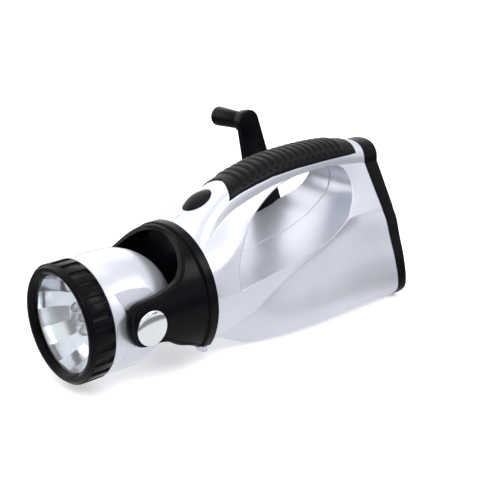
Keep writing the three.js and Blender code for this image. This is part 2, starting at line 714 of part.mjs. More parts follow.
function shellBosses(outer) {
  let bosses = [];
  for (const [x, z] of Object.values(shellScrewPlaces)) {
    bosses.push(cylinderY(BOSS_RADIUS, -REACH, REACH, x, z, ROUND_HIDDEN));
  }
  for (const [y, z] of Object.values(coverScrewPlaces)) {
    bosses.push(cylinderX(BOSS_RADIUS, BODY_LENGTH - COVER_BOSS_LENGTH, BODY_LENGTH, y, z, ROUND_HIDDEN));
  }
  const pillarY = COVER_PLATE_Y + PLATE + SEAT_GAP;
  for (const [x, z] of postPlaces) {
    bosses.push(cylinderY(POST_RADIUS, pillarY, REACH, x, z, ROUND_HIDDEN));
  }
  bosses = bosses.map((boss) => boss.intersect(outer));
  bosses.push(switchBox(SHELF_LENGTH, REACH, shelfTop - SHELF_THICKNESS, shelfTop).intersect(outer));
  bosses.push(cylinderY(BEARING_BOSS_RADIUS, BEARING_INNER_Y, BEARING_BOSS_Y, CRANK_X, CRANK_Z));
  return bosses;
}

function shellHoles() {
  const holes = [];
  const headRadius = SCREW_HEAD_RADIUS + FIT_GAP;
  const shankRadius = SCREW_RADIUS + SEAT_GAP;
  for (const [x, z] of Object.values(shellScrewPlaces)) {
    const end = SHELL_SCREW_SEAT - SHELL_SCREW_LENGTH - FIT_GAP;
    holes.push(cylinderY(shankRadius, end, SHELL_SCREW_SEAT + OVERRUN, x, z, ROUND_SMALL));
    holes.push(cylinderY(headRadius, SHELL_SCREW_SEAT, REACH, x, z, ROUND_SMALL));
  }
  for (const [y, z] of Object.values(coverScrewPlaces)) {
    const end = tail - COVER_SCREW_LENGTH - OVERRUN;
    holes.push(cylinderX(shankRadius, end, BODY_LENGTH + OVERRUN, y, z, ROUND_SMALL));
  }
  const spigotSeat = SPIGOT_RADIUS + SEAT_GAP;
  const spigotHole = cylinderX(spigotSeat, -OVERRUN, SPIGOT_LENGTH + FIT_GAP, 0, 0, ROUND_FINE);
  holes.push(spigotHole.subtract(chinForm(WALL)));
  const bore = BUSH_RADIUS + SEAT_GAP;
  holes.push(cylinderY(bore, BEARING_INNER_Y - OVERRUN, BEARING_BOSS_Y + OVERRUN, CRANK_X, CRANK_Z));
  const window = [SWITCH_HALF_LENGTH + FIT_GAP, SWITCH_HALF_WIDTH + FIT_GAP];
  holes.push(ovalDrum(...window, flangeTop - OVERRUN, OVERRUN));
  const recess = window.map((half) => half + SWITCH_FLANGE_LIP);
  holes.push(ovalDrum(...recess, switchBoardTop, flangeTop + SEAT_GAP));
  return holes;
}

function addShells() {
  const outer = bodyForm(0, 0, 1, SHELL_RINGS, SPAN_STEPS)
    .subtract(tunnelForm(0))
    .subtract(chinForm(0));
  const ends = OVERRUN / BODY_LENGTH;
  const room = bodyForm(-WALL, -ends, 1 + ends, ROOM_RINGS, 1)
    .subtract(tunnelForm(WALL))
    .subtract(chinForm(WALL));
  let shell = outer.subtract(room);
  for (const boss of shellBosses(outer)) shell = shell.add(boss);
  for (const side of [-1, 1]) {
    const y = side * FOOT_Y;
    const half = [FOOT_LENGTH / 2, FOOT_WIDTH / 2];
    const foot = box(
      FOOT_X - half[0], FOOT_X + half[0], y - half[1], y + half[1], -GROUND_DROP, WALL / 2 - CHIN_DROP,
    );
    shell = shell.add(foot.subtract(room));
  }
  const overPad = bodyForm(OVERRUN, padFrom, padTo, ROOM_RINGS, 1);
  shell = shell.subtract(padSkin(overPad, PAD_DEPTH + SEAT_GAP, FIT_GAP));
  for (const hole of shellHoles()) shell = shell.subtract(hole);
  shell = shell.subtract(behindSeam(0));
  const nearSide = box(-REACH, 2 * REACH, -REACH, 0, -REACH, REACH);
  const farSide = box(-REACH, 2 * REACH, 0, REACH, -REACH, REACH);
  addSolid('body_shell_near', shell.intersect(nearSide), silverPaint);
  addSolid('body_shell_far', shell.intersect(farSide), silverPaint);
}

function screwPoints(length, headRadius) {
  return [
    [0, 0], [0, headRadius], [-SCREW_HEAD, headRadius],
    [-SCREW_HEAD, SCREW_RADIUS], [-SCREW_HEAD - length, SCREW_RADIUS], [-SCREW_HEAD - length, 0],
  ];
}

function addShellScrews() {
  for (const [place, [x, z]] of Object.entries(shellScrewPlaces)) {
    const screw = revolveY(screwPoints(SHELL_SCREW_LENGTH, SCREW_HEAD_RADIUS), ROUND_SMALL);
    const mesh = addSolid(`shell_screw_${place}`, solid(screw), steel);
    mesh.position.set(x, SHELL_SCREW_SEAT + SCREW_HEAD + SEAT_GAP / 2, z);
  }
}

// Rear cover

function coverRing(depthShare, inset) {
  const outline = offsetOutline(bodySection(1, SPAN_STEPS), COVER_OVERHANG - inset);
  return outline.map(([y, z]) => [BODY_LENGTH + depthShare * COVER_DEPTH, y, z]);
}

const coverPlateX = tail - COVER_PLATE;
const coverHeadSeat = tail - SEAT_GAP - SCREW_HEAD - SEAT_GAP;

function addRearCover() {
  const rings = coverDepthShares.map((share, k) => coverRing(share, coverInsetShares[k] * COVER_ROUND));
  const frontX = BODY_LENGTH - COVER_LEAN - OVERRUN;
  rings[0] = rings[0].map(([, y, z]) => [frontX, y, z]);
  const hollowRing = (x) => offsetOutline(bodySection(1, 1), -WALL).map(([y, z]) => [x, y, z]);
  let cover = loft(rings).subtract(loft([hollowRing(frontX - OVERRUN), hollowRing(coverPlateX)]));
  for (const [y, z] of Object.values(coverScrewPlaces)) {
    cover = cover.add(cylinderX(BOSS_RADIUS, frontX, coverPlateX + SEAT_GAP, y, z, ROUND_HIDDEN));
    cover = cover.subtract(cylinderX(SCREW_RADIUS + SEAT_GAP, frontX, tail, y, z, ROUND_SMALL));
    const head = cylinderX(SCREW_HEAD_RADIUS + FIT_GAP, coverHeadSeat, tail + OVERRUN, y, z, ROUND_SMALL);
    cover = cover.subtract(head);
  }
  cover = cover.intersect(behindSeam(SEAT_GAP));
  for (const side of [-1, 1]) {
    const x0 = CHARGE_BOARD_X + CHARGE_BOARD_THICKNESS + SEAT_GAP;
    const y = side * BOARD_POST_Y;
    const post = cylinderX(BOARD_POST_RADIUS, x0, coverPlateX + SEAT_GAP, y, CHARGE_BOARD_Z, ROUND_HIDDEN);
    cover = cover.add(post);
  }
  const halfWidth = SOCKET_WIDTH / 2 + FIT_GAP;
  const halfHeight = SOCKET_HEIGHT / 2 + FIT_GAP;
  cover = cover.subtract(box(
    BODY_LENGTH, tail + OVERRUN, -halfWidth, halfWidth,
    CHARGE_BOARD_Z - halfHeight, CHARGE_BOARD_Z + halfHeight,
  ));
  addSolid('rear_cover', cover, blackPlastic);
}

function addCoverScrews() {
  for (const [place, [y, z]] of Object.entries(coverScrewPlaces)) {
    const screw = revolveX(screwPoints(COVER_SCREW_LENGTH, SCREW_HEAD_RADIUS), ROUND_SMALL);
    const mesh = addSolid(`cover_screw_${place}`, solid(screw), steel);
    mesh.position.set(tail - SEAT_GAP, y, z);
  }
}

// Yoke

function yokeTube() {
  const outerRadius = (x) => lerp(YOKE_BACK_RADIUS, YOKE_PIVOT_RADIUS, x / PIVOT_X);
  const front = outerRadius(YOKE_FRONT_X);
  const inner = YOKE_BACK_RADIUS - YOKE_WALL;
  const spigotInner = SPIGOT_RADIUS - SPIGOT_WALL;
  return solid(revolveX(ringPoints([
    [YOKE_FRONT_X, front - YOKE_WALL], [YOKE_FRONT_X, front], [PIVOT_X, YOKE_PIVOT_RADIUS],
    [-FLANGE_WIDTH, outerRadius(-FLANGE_WIDTH)], [-FLANGE_WIDTH, FLANGE_RADIUS], [-SEAT_GAP, FLANGE_RADIUS],
    [-SEAT_GAP, SPIGOT_RADIUS], [SPIGOT_LENGTH, SPIGOT_RADIUS], [SPIGOT_LENGTH, spigotInner],
    [BULKHEAD - FLANGE_WIDTH, spigotInner], [BULKHEAD - FLANGE_WIDTH, CABLE_HOLE_RADIUS],
    [-FLANGE_WIDTH, CABLE_HOLE_RADIUS], [-FLANGE_WIDTH, inner], [PIVOT_X, YOKE_PIVOT_RADIUS - YOKE_WALL],
  ]), ROUND_FINE));
}

// The side view that the collar and its arms are cut to
function yokeSide() {
  const point = ([along, up]) => [along * YOKE_FRONT_X, up * YOKE_BACK_RADIUS];
  const upper = yokeUpperShares.map(point);
  const lower = yokeLowerShares.map(point);
  const top = [[2 * SPIGOT_LENGTH, REACH], [upper[0][0], REACH]];
  const spigotLow = WALL + SEAT_GAP - CHIN_DROP;
  const bottom = [[-SEAT_GAP, -CHIN_DROP], [-SEAT_GAP, spigotLow], [2 * SPIGOT_LENGTH, spigotLow]];
  return extrudeY([...top, ...upper, ...lower, ...bottom], -REACH, REACH);
}

function addYoke() {
  const chinFloor = box(-FLANGE_WIDTH, -SEAT_GAP, -REACH, REACH, -CHIN_DROP, YOKE_WALL - CHIN_DROP);
  let yoke = yokeTube()
    .intersect(yokeSide())
    .add(chinFloor.intersect(cylinderX(SPIGOT_RADIUS, -REACH, REACH, 0, 0, ROUND_FINE)));
  for (const side of [-1, 1]) {
    const span = (from, to) => [Math.min(side * from, side * to), Math.max(side * from, side * to)];
    const skin = YOKE_PIVOT_RADIUS - YOKE_WALL / 2;
    yoke = yoke.add(cylinderY(PIVOT_BOSS_RADIUS, ...span(PIVOT_BOSS_INNER, skin), PIVOT_X, 0));
    yoke = yoke.subtract(cylinderY(CAP_RADIUS + SEAT_GAP, ...span(PIVOT_SEAT, REACH), PIVOT_X, 0));
    yoke = yoke.subtract(cylinderY(PIN_RADIUS + SEAT_GAP, ...span(FLAT_Y, REACH), PIVOT_X, 0));
  }
  addSolid('yoke', yoke, blackPlastic);
}

// Caps, pins and washers at the two pivots
function addPivots() {
  const capDome = Array.from({ length: CAP_ROUND_STEPS + 1 }, (_, k) => {
    const turn = (Math.PI / 2) * (k / CAP_ROUND_STEPS);
    return [CAP_RIM + CAP_RISE * Math.sin(turn), CAP_RADIUS * Math.cos(turn)];
  });
  const pinOuter = PIVOT_SEAT - SEAT_GAP;
  const pinPoints = [
    [PIN_INNER, 0], [PIN_INNER, PIN_HEAD_RADIUS], [PIN_INNER + PIN_HEAD, PIN_HEAD_RADIUS],
    [PIN_INNER + PIN_HEAD, PIN_RADIUS], [pinOuter, PIN_RADIUS], [pinOuter, 0],
  ];
  const washerInner = PIN_RADIUS + SEAT_GAP;
  const washerPoints = ringPoints([
    [FLAT_Y + SEAT_GAP, washerInner], [FLAT_Y + SEAT_GAP, WASHER_RADIUS],
    [PIVOT_BOSS_INNER - SEAT_GAP, WASHER_RADIUS], [PIVOT_BOSS_INNER - SEAT_GAP, washerInner],
  ]);
  for (const [side, name] of [[-1, 'near'], [1, 'far']]) {
    const place = new THREE.Group();
    place.position.x = PIVOT_X;
    place.rotation.x = side < 0 ? Math.PI : 0;
    torch.add(place);
    const cap = addSolid(`pivot_cap_${name}`, solid(revolveY([[0, 0], ...capDome])), chrome, place);
    cap.position.y = PIVOT_SEAT + SEAT_GAP;
    addSolid(`pivot_pin_${name}`, solid(revolveY(pinPoints)), steel, place);
    addSolid(`friction_washer_${name}`, solid(revolveY(washerPoints)), blackRubber, place);
  }
}

// Head

function domePoints(shrink, from, hole) {
  const radius = DOME_RADIUS - shrink;
  const last = Math.asin(hole / radius);
  return Array.from({ length: DOME_STEPS + 1 }, (_, k) => {
    const turn = lerp(from, last, k / DOME_STEPS);
    return [PIVOT_X + radius * Math.cos(turn), radius * Math.sin(turn)];
  });
}

function addHeadShell() {
  const straight = Math.PI / 2;
  const sleeveInner = SLEEVE_RADIUS - HEAD_WALL;
  const outer = solid(revolveX([
    [SLEEVE_FRONT, 0], [SLEEVE_FRONT, SLEEVE_RADIUS], [NECK_X, SLEEVE_RADIUS], [NECK_X, NECK_RADIUS],
    ...domePoints(0, straight, 0),
  ], ROUND_FINE));
  const inner = solid(revolveX([
    [SLEEVE_FRONT - OVERRUN, 0], [SLEEVE_FRONT - OVERRUN, sleeveInner], [NECK_X, sleeveInner],
    ...domePoints(HEAD_WALL, straight, 0),
  ], ROUND_FINE));
  const coneFront = SLEEVE_FRONT - OVERRUN;
  const cone = solid(revolveX([
    [coneFront, 0], [coneFront, FLAT_Y + (CONE_X - coneFront) * coneRiseShare], [CONE_X, FLAT_Y],
    [CONE_X, 0],
  ], ROUND_FINE));
  let shell = outer;
  let room = inner;
  for (const side of [-1, 1]) {
    const slab = (y) => (side < 0
      ? box(coneFront, REACH, -REACH, -y, -REACH, REACH)
      : box(coneFront, REACH, y, REACH, -REACH, REACH));
    shell = shell.subtract(slab(FLAT_Y).subtract(cone));
    const behindCone = box(CONE_X - OVERRUN, REACH, -REACH, REACH, -REACH, REACH);
    room = room.subtract(slab(FLAT_Y - HEAD_WALL).intersect(behindCone));
  }
  shell = shell.subtract(room);
  shell = shell.subtract(cylinderY(PIN_RADIUS + RUN_GAP, -REACH, REACH, PIVOT_X, 0));
  shell = shell.subtract(cylinderX(CABLE_HOLE_RADIUS, PIVOT_X, REACH));
  addSolid('head_shell', shell, silverPaint);
}

function addBezel() {
  const bore = LENS_RADIUS + FIT_GAP;
  const edge = BEZEL_LIP_ROUND;
  let bezel = solid(revolveX(ringPoints([
    [BEZEL_REAR, bore], [BEZEL_REAR, BEZEL_RADIUS - edge / 2], [BEZEL_REAR - edge / 2, BEZEL_RADIUS],
    [POCKET_FRONT, BEZEL_RADIUS], [BEZEL_FRONT + edge / 2, BEZEL_LIP_RADIUS],
    [BEZEL_FRONT, BEZEL_LIP_RADIUS - edge],
    [LENS_SEAT_X, LENS_OPENING], [LENS_SEAT_X, bore],
  ]), BEZEL_SIDES));
  for (let k = 0; k < BEZEL_POCKETS; k += 1) {
    const half = POCKET_WIDTH / 2;
    const floor = BEZEL_RADIUS - POCKET_DEPTH;
    const geometry = new THREE.BoxGeometry(POCKET_REAR - POCKET_FRONT, 2 * half, OVERRUN);
    geometry.translate((POCKET_REAR + POCKET_FRONT) / 2, 0, floor + OVERRUN / 2);
    bezel = bezel.subtract(solid(geometry.rotateX((2 * Math.PI * (k + 1 / 2)) / BEZEL_POCKETS)));
  }
  addSolid('bezel_ring', bezel, blackPlastic);
}

const lensFront = LENS_SEAT_X + SEAT_GAP;
const lensBack = lensFront + LENS_THICKNESS;
const sealBack = lensBack + SEAT_GAP + SEAL_THICKNESS;
const rimFront = sealBack + SEAT_GAP;

function addOptics() {
  const crown = LENS_OPENING - FIT_GAP;
  addSolid('lens', solid(revolveX([
    ...lensCrownShares.map(([out, rise]) => [lensFront - rise * LENS_CROWN, out * crown]),
    [lensFront, LENS_RADIUS], [lensBack, LENS_RADIUS], [lensBack, 0],
  ], ROUND_FINE)), clearPlastic);
  const sealFront = lensBack + SEAT_GAP;
  const sealInner = LENS_RADIUS - SEAL_WIDTH;
  addSolid('lens_seal', solid(revolveX(ringPoints([
    [sealFront, sealInner], [sealFront, LENS_RADIUS], [sealBack, LENS_RADIUS], [sealBack, sealInner],
  ]), ROUND_FINE)), blackRubber);
  const dish = reflectorCurveShares.map(([along, out]) => [
    lerp(rimFront, REFLECTOR_BASE_X, along), lerp(REFLECTOR_BASE, REFLECTOR_MOUTH, out),
  ]);
  const rimBack = rimFront + REFLECTOR_WALL;
  const back = dish.slice(1).map(([x, radius]) => [x, radius + REFLECTOR_WALL]).reverse();
  addSolid('reflector', solid(revolveX(ringPoints([
    ...dish, ...back, [rimBack, REFLECTOR_MOUTH], [rimBack, REFLECTOR_RIM], [rimFront, REFLECTOR_RIM],
  ]), REFLECTOR_FACETS)), mirrorCoat);
}

function addLights() {
  const boardFront = REFLECTOR_BASE_X + SEAT_GAP;
  addSolid('led_board', solid(revolveX([
    [boardFront, 0], [boardFront, BOARD_RADIUS], [boardFront + BOARD_THICKNESS, BOARD_RADIUS],
    [boardFront + BOARD_THICKNESS, 0],
  ])), greenBoard);
  const straight = LED_LENGTH - LED_RADIUS;
  const bulb = [
    [0, 0], [0, LED_FLANGE_RADIUS], [-LED_FLANGE, LED_FLANGE_RADIUS], [-LED_FLANGE, LED_RADIUS],
    ...Array.from({ length: LED_ROUND_STEPS + 1 }, (_, k) => {
      const turn = (Math.PI / 2) * (k / LED_ROUND_STEPS);
      return [-straight - LED_RADIUS * Math.sin(turn), LED_RADIUS * Math.cos(turn)];
    }),
  ];
  const places = [[0, 0]];
  for (let k = 0; k < LED_RING_COUNT; k += 1) {
    const turn = (2 * Math.PI * k) / LED_RING_COUNT;
    places.push([LED_RING * Math.sin(turn), LED_RING * Math.cos(turn)]);
  }
  places.forEach(([y, z], k) => {
    const led = addSolid(`led_${k + 1}`, solid(revolveX(bulb, ROUND_SMALL)), clearPlastic);
    led.position.set(boardFront - SEAT_GAP, y, z);
  });
}

// Gears

// Outline of a gear with involute-like teeth round the origin; a tooth points along +X
function gearOutline(count) {
  const pitch = (count * TOOTH_SIZE) / 2;
  const tip = pitch + addendumShare * TOOTH_SIZE;
  const root = pitch - dedendumShare * TOOTH_SIZE;
  const turnStep = (2 * Math.PI) / count;
  const halfPitchTooth = (turnStep * toothThicknessShare) / 2;
  const halfTip = halfPitchTooth * toothTipShare;
  const halfRoot = halfPitchTooth * (2 - toothTipShare);
  const corners = [[root, -halfRoot], [tip, -halfTip], [tip, halfTip], [root, halfRoot]];
  return Array.from({ length: count }, (_, k) => corners.map(([radius, turn]) => [
    radius * Math.cos(k * turnStep + turn), radius * Math.sin(k * turnStep + turn),
  ])).flat();
}

// A gear as a solid along Y, turned so that a tooth or a gap points in a direction
function gearSolid(count, y, face, direction, gap) {
  const halfStep = halfTurn / count;
  const gear = extrudeY(gearOutline(count), y, y + face);
  return gear.rotate([0, -(direction + (gap ? halfStep : 0)), 0]);
}

const gearRadius = (count) => (count * TOOTH_SIZE) / 2;
const stepTo = (from, distance, direction) => [
  from[0] + distance * Math.cos(radians(direction)), from[1] + distance * Math.sin(radians(direction)),
];
const idler2Direction = idler1Direction + idler2Turn;
const rotorDirection = idler2Direction + rotorTurn;
const crankAxis = [CRANK_X, CRANK_Z];
const idler1Axis = stepTo(
  crankAxis, gearRadius(toothCounts.crank) + gearRadius(toothCounts.idler1Pinion), idler1Direction,
);
const idler2Axis = stepTo(
  idler1Axis, gearRadius(toothCounts.idler1) + gearRadius(toothCounts.idler2Pinion), idler2Direction,
);
const rotorAxis = stepTo(
  idler2Axis, gearRadius(toothCounts.idler2) + gearRadius(toothCounts.rotor), rotorDirection,
);

const postPlaces = [
  ...crankPostOffsets.map(([x, z]) => [crankAxis[0] + x, crankAxis[1] + z]),
  ...rotorPostOffsets.map(([x, z]) => [rotorAxis[0] + x, rotorAxis[1] + z]),
];

// Puts a solid made round Y at the origin onto an axis
function addOnAxis(name, shape, material, [x, z]) {
  const mesh = addSolid(name, shape, material);
  mesh.position.set(x, 0, z);
  return mesh;
}

function addIdlers() {
  const bore = cylinderY(AXLE_RADIUS + RUN_GAP, 0, COVER_PLATE_Y, 0, 0, ROUND_SMALL);
  const hubEnds = [BASE_PLATE_Y + PLATE + FIT_GAP, COVER_PLATE_Y - FIT_GAP];
  const hub = cylinderY(IDLER_HUB_RADIUS, ...hubEnds, 0, 0, ROUND_SMALL);
  const back1 = idler1Direction + halfTurn;
  const first = hub
    .add(gearSolid(toothCounts.idler1, GEAR_LAYER_2, GEAR_FACE_2, idler2Direction, false))
    .add(gearSolid(toothCounts.idler1Pinion, GEAR_LAYER_3, GEAR_FACE_3, back1, true));
  addOnAxis('idler_gear_1', first.subtract(bore), whiteNylon, idler1Axis);
  const back2 = idler2Direction + halfTurn;
  const second = hub
    .add(gearSolid(toothCounts.idler2, GEAR_LAYER_1, GEAR_FACE_1, rotorDirection, false))
    .add(gearSolid(toothCounts.idler2Pinion, GEAR_LAYER_2, GEAR_FACE_2, back2, true));
  addOnAxis('idler_gear_2', second.subtract(bore), whiteNylon, idler2Axis);
  const ends = [BASE_PLATE_Y - SEAT_GAP, COVER_PLATE_Y + PLATE + SEAT_GAP];
  addOnAxis('idler_axle_1', cylinderY(AXLE_RADIUS, ...ends, 0, 0, ROUND_SMALL), steel, idler1Axis);
  addOnAxis('idler_axle_2', cylinderY(AXLE_RADIUS, ...ends, 0, 0, ROUND_SMALL), steel, idler2Axis);
}

// The outline round a set of circles, as their convex hull
function hullOutline(circles) {
  const points = circles.flatMap(([x, z, radius]) => Array.from({ length: ROUND_MEDIUM }, (_, k) => {
    const turn = (2 * Math.PI * k) / ROUND_MEDIUM;
    return [x + radius * Math.cos(turn), z + radius * Math.sin(turn)];
  })).sort((a, b) => a[0] - b[0] || a[1] - b[1]);
  const half = (list) => {
    const chain = [];
    for (const point of list) {
      while (chain.length > 1) {
        const [a, b] = chain.slice(-2);
        if ((b[0] - a[0]) * (point[1] - a[1]) > (b[1] - a[1]) * (point[0] - a[0])) break;
        chain.pop();
      }
      chain.push(point);
    }
    return chain.slice(0, -1);
  };
  return [...half(points), ...half([...points].reverse())];
}

function addGearbox() {
  const circles = [
    ...postPlaces.map(([x, z]) => [x, z, PLATE_MARGIN]), [...crankAxis, CRANK_PLATE_MARGIN],
    [...rotorAxis, CRANK_PLATE_MARGIN],
  ];
  const outline = hullOutline(circles);
  const hole = (radius, [x, z]) => cylinderY(radius, 0, BEARING_BOSS_Y, x, z, ROUND_SMALL);
  const drill = (plate) => plate
    .subtract(hole(AXLE_RADIUS + RUN_GAP, idler1Axis))
    .subtract(hole(AXLE_RADIUS + RUN_GAP, idler2Axis))
    .subtract(hole(ROTOR_SHAFT_RADIUS + RUN_GAP, rotorAxis))
    .subtract(hole(SHAFT_RADIUS + FIT_GAP, crankAxis));
  let base = extrudeY(outline, BASE_PLATE_Y, BASE_PLATE_Y + PLATE);
  for (const [x, z] of postPlaces) {
    base = base.add(cylinderY(POST_RADIUS, BASE_PLATE_Y, COVER_PLATE_Y - SEAT_GAP, x, z, ROUND_SMALL));
  }
  addSolid('gearbox_base', drill(base), blackPlastic);
  addSolid('gearbox_cover', drill(extrudeY(outline, COVER_PLATE_Y, COVER_PLATE_Y + PLATE)), blackPlastic);
}

function addGenerator() {
  const canTop = BASE_PLATE_Y - SEAT_GAP;
  const canLow = canTop - CAN_DEPTH;
  const inner = CAN_RADIUS - CAN_WALL;
  const bearing = ROTOR_SHAFT_RADIUS + RUN_GAP;
  addOnAxis('generator_can', solid(revolveY(ringPoints([
    [canLow, bearing], [canLow, CAN_RADIUS], [canTop, CAN_RADIUS], [canTop, inner],
    [canLow + CAN_WALL, inner], [canLow + CAN_WALL, bearing],
  ]))), steel, rotorAxis);
  const middle = (canLow + canTop) / 2;
  addOnAxis('generator_coil', solid(revolveY(ringPoints([
    [middle - COIL_LENGTH / 2, COIL_INNER], [middle - COIL_LENGTH / 2, COIL_OUTER],
    [middle + COIL_LENGTH / 2, COIL_OUTER], [middle + COIL_LENGTH / 2, COIL_INNER],
  ]))), copper, rotorAxis);
  const magnetLow = middle - MAGNET_LENGTH / 2;
  const magnetHigh = middle + MAGNET_LENGTH / 2;
  const shaftHigh = COVER_PLATE_Y + PLATE;
  const rotor = solid(revolveY([
    [canLow, 0], [canLow, ROTOR_SHAFT_RADIUS], [magnetLow, ROTOR_SHAFT_RADIUS],
    [magnetLow, MAGNET_RADIUS], [magnetHigh, MAGNET_RADIUS], [magnetHigh, ROTOR_SHAFT_RADIUS],
    [shaftHigh, ROTOR_SHAFT_RADIUS], [shaftHigh, 0],
  ]));
  const back = rotorDirection + halfTurn;
  const pinion = gearSolid(toothCounts.rotor, GEAR_LAYER_1, GEAR_FACE_1, back, true);
  addOnAxis('generator_rotor', rotor.add(pinion), steel, rotorAxis);
}

// Crank

function addCrankDrive() {
  const hubTop = GEAR_LAYER_3 + GEAR_FACE_3;
  const bore = cylinderY(SHAFT_RADIUS + SEAT_GAP, 0, BEARING_BOSS_Y, 0, 0, ROUND_MEDIUM);
  const gear = gearSolid(toothCounts.crank, GEAR_LAYER_3, GEAR_FACE_3, idler1Direction, false)
    .add(cylinderY(GEAR_HUB_RADIUS, BASE_PLATE_Y + PLATE + FIT_GAP, hubTop))
    .subtract(bore);
  addOnAxis('crank_gear', gear, whiteNylon, crankAxis);
  const tapped = SCREW_RADIUS + SEAT_GAP;
  const tapDepth = SHAFT_OUTER_Y - ARM_SCREW_LENGTH;
  addOnAxis('crank_shaft', solid(revolveY([
    [SHAFT_INNER_Y, 0], [SHAFT_INNER_Y, SHAFT_RADIUS], [SHAFT_OUTER_Y, SHAFT_RADIUS],
    [SHAFT_OUTER_Y, tapped], [tapDepth, tapped], [tapDepth, 0],
  ])), steel, crankAxis);
  addOnAxis('crank_bush', solid(revolveY(ringPoints([
    [BEARING_INNER_Y, SHAFT_RADIUS + RUN_GAP], [BEARING_INNER_Y, BUSH_RADIUS],
    [BEARING_BOSS_Y, BUSH_RADIUS], [BEARING_BOSS_Y, SHAFT_RADIUS + RUN_GAP],
  ]))), brass, crankAxis);
}

// The crank is made pointing along +Z from its hub and then leant to its place
function addCrankArm() {
  const crank = new THREE.Group();
  crank.position.set(CRANK_X, 0, CRANK_Z);
  crank.rotation.y = -radians(CRANK_LEAN);
  torch.add(crank);
  const outline = hullOutline([[0, 0, ARM_HUB_RADIUS], [0, CRANK_RADIUS, ARM_TIP_RADIUS]]);
  const small = offsetOutline(outline, -ARM_BEVEL);
  const armOuter = ARM_INNER_Y + ARM_THICKNESS;
  let arm = extrudeY(outline, ARM_INNER_Y, armOuter - ARM_BEVEL)
    .add(extrudeY(small, armOuter - 2 * ARM_BEVEL, armOuter));
  const bossOuter = armOuter + ARM_TIP_BOSS;
  arm = arm.add(cylinderY(ARM_TIP_RADIUS - ARM_BEVEL, armOuter - ARM_BEVEL, bossOuter, 0, CRANK_RADIUS));
  arm = arm.add(cylinderY(ARM_HUB_STEP_RADIUS, ARM_INNER_Y - ARM_HUB_STEP, ARM_INNER_Y + ARM_BEVEL));
  const webLow = SHAFT_OUTER_Y + SEAT_GAP;
  const webHigh = webLow + ARM_WEB;
  arm = arm.subtract(cylinderY(SHAFT_RADIUS + SEAT_GAP, 0, webLow));
  arm = arm.subtract(cylinderY(SCREW_RADIUS + FIT_GAP, 0, REACH, 0, 0, ROUND_SMALL));
  arm = arm.subtract(cylinderY(ARM_SCREW_POCKET_RADIUS, webHigh, REACH));
  const pinSeat = ARM_INNER_Y + ARM_WEB;
  arm = arm.subtract(cylinderY(KNOB_PIN_RADIUS + SEAT_GAP, pinSeat, REACH, 0, CRANK_RADIUS));
  addSolid('crank_arm', arm, blackPlastic, crank);

  const screw = revolveY([
    [0, 0], [0, ARM_SCREW_HEAD_RADIUS], [-ARM_SCREW_HEAD, ARM_SCREW_HEAD_RADIUS],
    [-ARM_SCREW_HEAD, SCREW_RADIUS], [-ARM_SCREW_HEAD - ARM_SCREW_LENGTH, SCREW_RADIUS],
    [-ARM_SCREW_HEAD - ARM_SCREW_LENGTH, 0],
  ], ROUND_SMALL);
  const screwMesh = addSolid('crank_screw', solid(screw), steel, crank);
  screwMesh.position.y = webHigh + SEAT_GAP + ARM_SCREW_HEAD;

  const knobFoot = bossOuter + SEAT_GAP;
  const knobEnd = knobFoot + KNOB_LENGTH;
  const pinHole = KNOB_PIN_RADIUS + RUN_GAP;
  const pocket = KNOB_PIN_HEAD_RADIUS + SEAT_GAP;
  const knob = solid(revolveY(ringPoints([
    [knobFoot, pinHole], [knobFoot, KNOB_ROOT_RADIUS - KNOB_ROUND / 2],
    [knobFoot + KNOB_ROUND / 2, KNOB_ROOT_RADIUS], [knobEnd - KNOB_ROUND, KNOB_END_RADIUS],
    [knobEnd, KNOB_END_RADIUS - KNOB_ROUND], [knobEnd, pocket], [knobEnd - KNOB_POCKET, pocket],
    [knobEnd - KNOB_POCKET, pinHole],
  ])));
  addSolid('crank_knob', knob, blackPlastic, crank).position.z = CRANK_RADIUS;
  const headLow = knobEnd - KNOB_POCKET + SEAT_GAP;
  const pin = solid(revolveY([
    [pinSeat + SEAT_GAP, 0], [pinSeat + SEAT_GAP, KNOB_PIN_RADIUS], [headLow, KNOB_PIN_RADIUS],
    [headLow, KNOB_PIN_HEAD_RADIUS], [headLow + KNOB_PIN_HEAD, KNOB_PIN_HEAD_RADIUS],
    [headLow + KNOB_PIN_HEAD, 0],
  ]));
  addSolid('knob_pin', pin, steel, crank).position.z = CRANK_RADIUS;
}

// Battery pack

function cellPlaces() {
  const pitch = 2 * CELL_RADIUS + CELL_GAP;
  const top = CELL_LOW_Z + pitch * Math.sin(Math.PI / 3);
  return [
    [CELL_NEAR_Y, CELL_LOW_Z], [CELL_NEAR_Y + pitch, CELL_LOW_Z], [CELL_NEAR_Y + pitch / 2, top],
  ];
}

